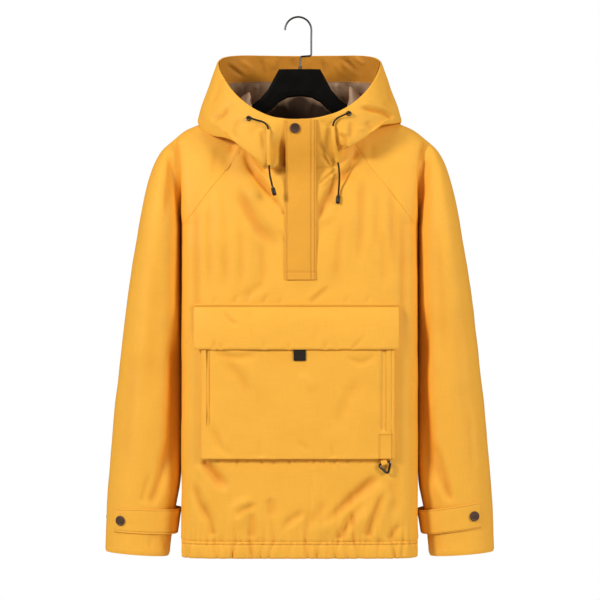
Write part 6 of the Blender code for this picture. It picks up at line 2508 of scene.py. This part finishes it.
@dataclass
class Studio:
    """Camera, soft lights and a pale floor, none of them part of the garment."""

    distance: float = 4.0
    aim: tuple[float, float] = (0.0030, -0.4702)
    lens: float = 144.0
    floor_z: float = -1.30
    floor_radius: float = 1.1
    light_aim: float = -0.45
    lit: tuple[float, ...] = (1.0, 0.92, 0.82, 1.0)
    lit_strength: float = 0.24
    lights: tuple[Light, ...] = (
        Light("key", (-2.4, -2.1, 0.8), 0.6, 86.0, (1.0, 0.97, 0.93)),
        Light("fill", (2.6, -2.1, 0.5), 1.1, 66.0, (1.0, 0.97, 0.92)),
        Light("top", (0.0, -0.6, 2.2), 1.2, 12.0, (1.0, 1.0, 1.0)))

    def camera(self) -> None:
        """A camera straight in front, one metre wide at the hanger's plane."""
        data = bpy.data.cameras.new("front_camera")
        data.lens, data.sensor_width = self.lens, 36.0
        data.clip_end = 40.0
        made = bpy.data.objects.new("front_camera", data)
        made.location = (self.aim[0], -self.distance, self.aim[1])
        made.rotation_euler = (math.pi / 2, 0, 0)
        bpy.context.scene.collection.objects.link(made)
        bpy.context.scene.camera = made

    def light(self, light: Light) -> None:
        """A soft square light aimed at the garment's middle.

        Args:
            light: The light.
        """
        data = bpy.data.lights.new(light.name, "AREA")
        data.size, data.energy, data.color = light.size, light.power, light.colour
        made = bpy.data.objects.new(light.name, data)
        made.location = light.place
        way = Vector((0.0, 0.0, self.light_aim)) - Vector(light.place)
        made.rotation_euler = way.to_track_quat("-Z", "Y").to_euler()
        bpy.context.scene.collection.objects.link(made)

    def floor(self) -> None:
        """A pale round floor well below the garment."""
        bpy.ops.object.select_all(action="DESELECT")
        bpy.ops.mesh.primitive_circle_add(vertices=96, radius=self.floor_radius, fill_type="NGON",
                                          location=(0, 0, self.floor_z))
        made = bpy.context.object
        made.name = "studio_floor"
        finish = bpy.data.materials.new("studio_floor")
        finish.use_nodes = True
        shader = finish.node_tree.nodes["Principled BSDF"]
        shader.inputs["Base Color"].default_value = (0.85, 0.85, 0.85, 1.0)
        shader.inputs["Roughness"].default_value = 0.9
        made.data.materials.append(finish)

    def world(self) -> None:
        """White behind the garment, and a softer white that lights it."""
        world = bpy.data.worlds.new("studio_world")
        world.use_nodes = True
        graph = Graph(world.node_tree)
        world.node_tree.nodes.clear()
        path = graph.add("ShaderNodeLightPath")
        seen = graph.add("ShaderNodeBackground", {"Color": (1.0, 1.0, 1.0, 1.0), "Strength": 1.0})
        lit = graph.add("ShaderNodeBackground", {"Color": self.lit, "Strength": self.lit_strength})
        mixed = graph.add("ShaderNodeMixShader", {0: path.outputs["Is Camera Ray"], 1: lit.outputs[0],
                                                  2: seen.outputs[0]})
        graph.add("ShaderNodeOutputWorld", {"Surface": mixed.outputs[0]})
        bpy.context.scene.world = world

    def build(self) -> None:
        """Light the scene and lay the floor."""
        scene = bpy.context.scene
        scene.view_settings.view_transform = "Standard"
        self.world()
        for light in self.lights:
            self.light(light)
        self.floor()


# ---------------------------------------------------------------- where the creases lie
def pocket_gathers(*rows: tuple[int, ...], width: float = 0.0024, lean: float = 0.4,
                   ends: tuple[float, float] = (0.05, 0.9)) -> tuple[Crease, ...]:
    """Small gathers that hang from the pocket's lower edge.

    Args:
        rows: Place across, lean, depth and drop of each, in tenths of a millimetre.
        width: Their half width.
        lean: The share of the height that swells beside each.
        ends: The shares over which they fade.

    Returns:
        The creases in order.
    """
    made = []
    for x, aside, depth, drop in metres(*rows):
        path = ((x, POCKET_FOOT), (x + aside, POCKET_FOOT - drop))
        made.append(Crease(Side.FRONT, path, width, -depth, lean, ends))
    return tuple(made)


POCKET_FOOT = -0.7290
POCKET_GATHERS = pocket_gathers(
    (-1566, 49, 24, 200), (-1346, 49, 20, 120), (-1030, 33, 30, 260), (-857, -16, 20, 120),
    (-634, 49, 28, 180), (-436, 16, 26, 220), (-368, -33, 22, 140), (-177, 33, 30, 260), (-79, -16, 20, 120),
    (105, 16, 18, 100), (235, -16, 30, 180), (309, 33, 24, 120), (398, -16, 22, 150), (496, 16, 26, 120),
    (577, -49, 30, 220), (789, -33, 22, 140), (1001, -33, 20, 120))
FRONT_CREASES = creases(Side.FRONT,
    ((40, -36, 40, 10, 50), (-1085, -2045), (-1126, -2257), (-1120, -2330)),
    ((80, -18, 0, 30, 50), (-1313, -2061), (-1362, -2290), (-1411, -2550), (-1427, -2828)),
    ((50, -62, 60, 12, 30), (-898, -2257), (-785, -2534), (-645, -2746), (-459, -2991), (-303, -3186)),
    ((28, -25, -30, 20, 30), (-710, -2322), (-612, -2501), (-498, -2664)),
    ((100, -66, 50), (-1020, -2780), (-940, -3000), (-645, -3528), (-270, -3920)),
    ((35, -34, 0, 30, 5), (-466, -3023), (-335, -3154), (-238, -3317)),
    ((35, -20, 0, 40, 5), (-335, -3545), (-229, -3757)),
    ((75, -32), (-1700, -2700), (-1712, -3724), (-1690, -5800)),
    ((60, -24), (-1470, -2950), (-1480, -3805), (-1445, -4700)),
    ((70, -26), (-1230, -3100), (-1210, -3900), (-1185, -4730)),
    ((75, -24), (-980, -3300), (-940, -4000), (-960, -4720)),
    ((80, -26), (-660, -3700), (-590, -4150), (-620, -4600)),
    ((80, 22), (-1345, -2700), (-1300, -3400), (-1180, -4100)),
    ((46, -56, -40, 10, 40), (920, -2208), (871, -2371), (773, -2648), (675, -2909)),
    ((70, -14, 0, 30, 50), (1197, -2061), (1181, -2290), (1164, -2518)),
    ((28, -34, 40, 10, 20), (589, -2567), (447, -2697), (310, -2816)),
    ((80, -64, 40, 20, 20), (806, -2485), (610, -2762), (382, -3212), (268, -3414)),
    ((26, -22), (566, -2664), (356, -2893)),
    ((90, -40, 30), (1034, -2534), (1034, -3072), (1001, -3659), (940, -4300)),
    ((75, -30), (1490, -2600), (1535, -3300), (1560, -4400)),
    ((70, -24), (1270, -2700), (1275, -3300), (1215, -4100)),
    ((75, -30), (1690, -3000), (1712, -4000), (1700, -5700)), ((80, 20), (463, -3479), (349, -4083)),
    ((80, -28), (686, -3300), (630, -3900), (600, -4600)),
    ((80, -20), (1344, -3500), (1376, -4213), (1344, -4720)),
    ((69, -57, -30, 5, 50), (-1574, -7326), (-1427, -7506), (-1264, -7701), (-1134, -7799)),
    ((75, -45, 40), (-1737, -7636), (-1639, -7995), (-1476, -8386)),
    ((60, -37, 0, 30, 10), (-1574, -7962), (-1476, -8288), (-1411, -8565)),
    ((54, -41, -50), (-669, -8011), (-808, -8076), (-955, -8141), (-1085, -8288)),
    ((53, -35, 30, 30, 5), (-775, -8141), (-759, -8370), (-775, -8581)),
    ((75, -28), (-515, -7913), (-449, -8092), (-482, -8288)),
    ((60, -35, 40), (121, -8125), (-58, -8239), (-221, -8370), (-303, -8533)),
    ((78, -57, 60, 15, 40), (1311, -7554), (1083, -7750), (871, -7929), (555, -8206), (235, -8484)),
    ((60, -45, 40, 30, 5), (1083, -7962), (855, -8255), (724, -8467), (659, -8614)),
    ((69, -47, 50, 25, 5), (1409, -7766), (1295, -8044), (1190, -8329), (1115, -8581)),
    ((90, -28), (1507, -7603), (1572, -7962), (1507, -8288)),
    ((53, -37, 0, 30, 5), (1670, -8353), (1555, -8484), (1458, -8630)),
    ((90, -28, 30), (447, -7929), (300, -8190), (56, -8451)), ((60, 25), (741, -8288), (496, -8614)),
    ((26, -18, 0, 5, 60), (-1414, -4767), (-1349, -4620)),
    ((28, -22, 0, 5, 60), (-1087, -4767), (-989, -4571)),
    ((28, -22, 0, 5, 60), (-875, -4767), (-777, -4539)), ((28, -22, 0, 5, 60), (-614, -4767), (-483, -4555)),
    ((26, -16, 0, 5, 60), (-336, -4767), (-271, -4637)),
    ((40, -26, 40, 10, 40), (170, -4751), (366, -4588), (530, -4441)),
    ((26, -16, 0, 5, 60), (726, -4767), (807, -4620)), ((30, -18, 0, 5, 60), (1085, -4767), (1167, -4588)),
    ((70, -22, 30), (-516, -4408), (-810, -4571), (-1038, -4702))) + POCKET_GATHERS
BACK_CREASES = creases(Side.BACK,
    ((90, -40), (-1200, -2700), (-900, -3500), (-800, -4600)),
    ((100, -45), (1150, -2600), (950, -3600), (1000, -5000)),
    ((120, -35), (-1500, -4200), (-1100, -5200), (-950, -6400)),
    ((110, 30), (200, -3300), (350, -4500), (200, -5800)),
    ((80, -35), (1450, -5200), (1150, -6500), (850, -8000)),
    ((85, -30), (-500, -6000), (-350, -7200), (-550, -8450)),
    ((60, -30), (-1600, -7000), (-1400, -7800), (-1450, -8550)),
    ((50, -26), (400, -7600), (250, -8100), (300, -8600)))
HOOD_CREASES = {
    Hand.RIGHT: creases(Side.FRONT,
        ((34, -58, 60, 25, 10), (967, -1528), (1179, -1585), (1390, -1626), (1553, -1707)),
        ((50, -24), (1374, -1382), (1488, -1545), (1586, -1691)),
        ((34, -34, 40), (625, -1968), (739, -2098), (723, -2293)),
        ((42, -26, -40), (853, -1756), (837, -1984), (772, -2147)),
        ((40, -24), (1081, -1773), (1179, -1886), (1244, -1952)), ((30, 20), (935, -1903), (1081, -1935)),
        ((24, -30, 40, 30, 10), (349, -2293), (446, -2423), (544, -2554)),
        ((30, -20), (284, -2098), (398, -2261), (479, -2423)), ((30, -18), (349, -1773), (495, -1903)),
        ((60, -24), (1472, -1040), (1521, -1366), (1472, -1610))) + creases(Side.BACK,
        ((90, -40, 30), (500, -1500), (800, -2100), (700, -2700))),
    Hand.LEFT: creases(Side.FRONT,
        ((36, -34, 40), (-1197, -1512), (-1230, -1642), (-1360, -1740), (-1507, -1789)),
        ((70, -20), (-1083, -1398), (-1197, -1610), (-1344, -1838)),
        ((42, -24), (-970, -1740), (-1083, -1935), (-1002, -2114)),
        ((44, -22, 30), (-611, -1805), (-774, -1952), (-823, -2147)),
        ((34, -22), (-677, -1903), (-595, -2098), (-579, -2342)),
        ((36, -85, 0, 50, 5), (-244, -1984), (-238, -2293), (-232, -2651)),
        ((60, -22), (-330, -2050), (-310, -2350), (-300, -2600)),
        ((32, -24, 0, 30, 10), (-449, -2098), (-400, -2342), (-432, -2521)),
        ((60, -18), (-1279, -991), (-1360, -1317), (-1523, -1642))) + creases(Side.BACK,
        ((90, -42, -30), (-600, -1600), (-750, -2200), (-600, -2800)))}
FACING_CREASES = {
    Hand.LEFT: creases(Side.BACK,
        ((28, 28, 60), (-1247, -721), (-1077, -839), (-908, -958)),
        ((30, -24), (-1009, -653), (-823, -788), (-738, -958)), ((40, 22, 40), (-637, -619), (-552, -941)),
        ((40, -16), (-400, -602), (-450, -805)), ((40, 16), (-129, -602), (-61, -805))),
    Hand.RIGHT: creases(Side.BACK,
        ((32, 28, -60), (685, -602), (888, -755), (1057, -924)), ((30, -24), (922, -602), (1125, -755)),
        ((45, 20, 40), (380, -619), (447, -941)), ((40, -15), (159, -602), (143, -839)),
        ((30, -18), (583, -670), (752, -941)))}
LINING_CREASES = {
    Hand.LEFT: creases(Side.BACK,
        ((32, -52, 40, 10, 20), (-721, -1043), (-772, -1229), (-857, -1449)),
        ((30, 28), (-891, -1026), (-959, -1314)), ((30, -22), (-1043, -1009), (-1009, -1195)),
        ((40, -24), (-247, -1280), (-162, -1568)), ((30, 20), (-450, -1314), (-349, -1517))),
    Hand.RIGHT: creases(Side.BACK,
        ((32, -52, -40, 10, 20), (617, -1026), (702, -1178), (820, -1331)),
        ((30, 28), (786, -1009), (922, -1212)), ((30, -22), (973, -1009), (1057, -1144)),
        ((40, -24), (210, -1280), (126, -1568)), ((30, 20), (447, -1314), (363, -1534)))}
SLEEVE_CREASES = {
    Hand.LEFT: creases(Side.FRONT,
        ((120, -86, 0, 30, 25), (-1994, -5061), (-2010, -5845), (-2067, -6825), (-2182, -7805)),
        ((70, -40, 30, 40, 10), (-2182, -6989), (-2280, -7609), (-2443, -8083)),
        ((50, -24, 0, 40, 10), (-2443, -7479), (-2606, -8050)),
        ((70, -30, 0, 20, 50), (-2084, -2252), (-2116, -2824), (-2231, -3640)),
        ((140, -20), (-2312, -3722), (-2410, -5192), (-2557, -6825)),
        ((120, -16), (-2704, -5192), (-2835, -6825), (-2933, -7969)),
        ((30, -14, 0, 20, 20), (-2443, -8557), (-2459, -8818)),
        ((30, -14, 0, 20, 20), (-2263, -8589), (-2214, -8834))) + creases(Side.BACK,
        ((120, -50, 30), (-2300, -2900), (-2450, -4200), (-2500, -5600)),
        ((100, -45), (-2250, -5400), (-2500, -6600), (-2600, -7700))),
    Hand.RIGHT: creases(Side.FRONT,
        ((95, -74, 0, 25, 20), (2032, -4637), (2024, -5519), (2024, -6335), (2098, -7152), (2179, -7887)),
        ((45, -40, 0, 20, 50), (2081, -2252), (2016, -2660), (1983, -3314)),
        ((60, -34, -30, 40, 10), (2228, -7234), (2310, -7642), (2490, -8018)),
        ((60, -28, 0, 30, 20), (2163, -6989), (2359, -7511), (2457, -7969)),
        ((100, -20), (2245, -3232), (2310, -4702), (2408, -6335)),
        ((120, -16), (2555, -4702), (2686, -6335), (2784, -7642)), ((70, -14), (2784, -6335), (2882, -7805)),
        ((30, -14, 0, 20, 20), (2294, -8589), (2261, -8818))) + creases(Side.BACK,
        ((120, -48, -30), (2250, -3000), (2400, -4400), (2600, -5400)),
        ((100, -45), (2400, -5200), (2350, -6700), (2550, -7800)))}
FLAP_CREASES = creases(Side.FRONT,
    ((34, -24, 40), (-1218, -4833), (-1153, -4996), (-973, -5143)),
    ((40, -13), (-777, -4865), (-810, -5061)), ((70, -16), (89, -4898), (252, -5192), (301, -5437)),
    ((30, -18, 0, 5, 60), (856, -5502), (954, -5388), (1085, -5274)),
    ((26, -14, 0, 5, 60), (-1398, -5502), (-1381, -5323)),
    ((26, -12, 0, 5, 60), (-1283, -5502), (-1251, -5355)),
    ((26, -14, 0, 5, 60), (-581, -5502), (-565, -5339)), ((26, -12, 0, 5, 60), (-173, -5502), (-189, -5372)),
    ((28, -15, 0, 5, 60), (415, -5502), (448, -5323)), ((26, -12, 0, 5, 60), (595, -5502), (611, -5372)),
    ((90, 12), (-401, -5061), (334, -4996), (824, -5061)))
FACE_CREASES = creases(Side.FRONT,
    ((55, -32, 0, 20, 40), (-1398, -5551), (-1038, -5633), (-614, -5584)),
    ((90, -28, 30), (-1267, -5649), (-940, -5976), (-744, -6466)),
    ((50, -26), (726, -5617), (1020, -5715), (1281, -5551)),
    ((110, -22), (1085, -5878), (726, -6368), (562, -6956)),
    ((60, -20), (-1430, -6744), (-1267, -7119), (-1006, -7250)), ((50, -14), (-58, -6989), (203, -7185)),
    ((90, 18), (7, -5878), (268, -6205)), ((50, -15, 0, 50, 5), (-679, -6825), (-614, -7266)),
    ((50, -14, 0, 50, 5), (497, -6989), (546, -7266)))
LEFT_ROUTE = metres(
    (-829, -911, -1742), (-836, -940, -1736), (-815, -970, -1738), (-765, -986, -1755), (-690, -984, -1778),
    (-614, -990, -1800), (-552, -1010, -1838), (-516, -1028, -1895), (-508, -1040, -1965),
    (-506, -1057, -2085), (-504, -1063, -2225), (-500, -1048, -2375), (-496, -1028, -2480),
    (-492, -1014, -2570), (-482, -1007, -2670), (-462, -1003, -2770), (-438, -1000, -2865))
RIGHT_ROUTE = metres(
    (803, -908, -1663), (808, -936, -1655), (790, -967, -1662), (745, -982, -1682), (680, -982, -1712),
    (620, -984, -1742), (575, -984, -1785), (548, -982, -1840), (543, -978, -1900), (548, -974, -2010),
    (558, -950, -2140), (582, -893, -2270), (612, -820, -2380), (632, -778, -2475), (645, -762, -2570),
    (651, -766, -2680), (647, -776, -2790), (640, -787, -2895), (633, -798, -2987))


# ---------------------------------------------------------------- assembly
@dataclass
class Anorak:
    """Every cut piece and every hard piece of the garment and its hanger."""

    placket: Placket = field(default_factory=Placket)
    pocket: Pocket = field(default_factory=Pocket)
    straps: tuple[CuffStrap, ...] = (
        CuffStrap(Hand.LEFT, -0.8130, -0.8159, 0.0383, 0.0418, math.radians(45.0), math.radians(60.0)),
        CuffStrap(Hand.RIGHT, -0.7987, -0.8184, 0.0430, 0.0395, math.radians(54.0), math.radians(67.5)))
    cords: tuple[Drawcord, ...] = (
        Drawcord(Hand.LEFT, LEFT_ROUTE, (-0.1935, -0.2510)),
        Drawcord(Hand.RIGHT, RIGHT_ROUTE, (-0.1875, -0.2450)))
    placket_snap: tuple[float, float] = (-0.0075, -0.1910)
    stud: tuple[float, float] = (0.0050, 0.0014)
    stud_turn: float = math.radians(-16.0)
    stitching: Stitching = field(default_factory=Stitching)

    def cloth(self) -> None:
        """The cut pieces, with the stitches that hold them."""
        for panel in (BodyPanel("front", Side.FRONT, FRONT_CREASES, FRONT_GATHERS, (0.40, 0.75), 0.2800),
                      BodyPanel("back", Side.BACK, BACK_CREASES, BACK_GATHERS, (0.40, 0.77), 0.2950)):
            panel.build(self.stitching)
        HemBand().build(self.stitching)
        for hand in Hand:
            Sleeve(hand, (*FRONT_CREASES, *BACK_CREASES, *SLEEVE_CREASES[hand])).build()
            half = HoodHalf(hand, HOOD_CREASES[hand], FACING_CREASES[hand], LINING_CREASES[hand])
            half.build(self.stitching)
        self.placket.build(self.stitching)
        self.pocket.build(self.stitching)
        for strap in self.straps:
            strap.build(self.stitching)

    def snaps(self) -> None:
        """The snap on the placket, and two at each cuff."""
        x, z = self.placket_snap
        y = -self.placket.depth(z) - self.placket.thickness
        Snap("placket_snap", (x, y, z), (0, -1, 0)).build()
        for strap in self.straps:
            top, height = strap.edge(strap.snap)
            height = top - height / 2
            flip = np.array([strap.hand, 1, 1])
            point, normal = SLEEVE_FORM.place(strap.snap, height, strap.lift)
            Snap(f"cuff_snap_{strap.hand.word}", point * flip, normal * flip).build()
            point, normal = SLEEVE_FORM.place(self.stud_turn, height)
            Snap(f"sleeve_snap_{strap.hand.word}", point * flip, normal * flip, *self.stud).build()

    def build(self) -> None:
        """Make everything; what the solids already show well is carried over."""
        for cord in self.cords:
            cord.build()
        self.cloth()
        self.snaps()
        Eyelet(Hand.LEFT, -0.0826, -0.1745).build()
        Eyelet(Hand.RIGHT, 0.0800, -0.1667).build()
        RingLoop().build()
        self.stitching.build("stitches")
        refinish("ring", BLACK_METAL)
        refinish("hanger", HANGER_PLASTIC)
        refinish("hook", HOOK_STEEL)
        refinish("hook_collar", HOOK_STEEL)


def main() -> None:
    """Build the studio and the garment over the frame, and log each piece's face count."""
    logging.basicConfig(level=logging.INFO, format="%(message)s")
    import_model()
    studio = Studio()
    studio.camera()
    Anorak().build()
    studio.build()


if __name__ == "__main__":
    main()
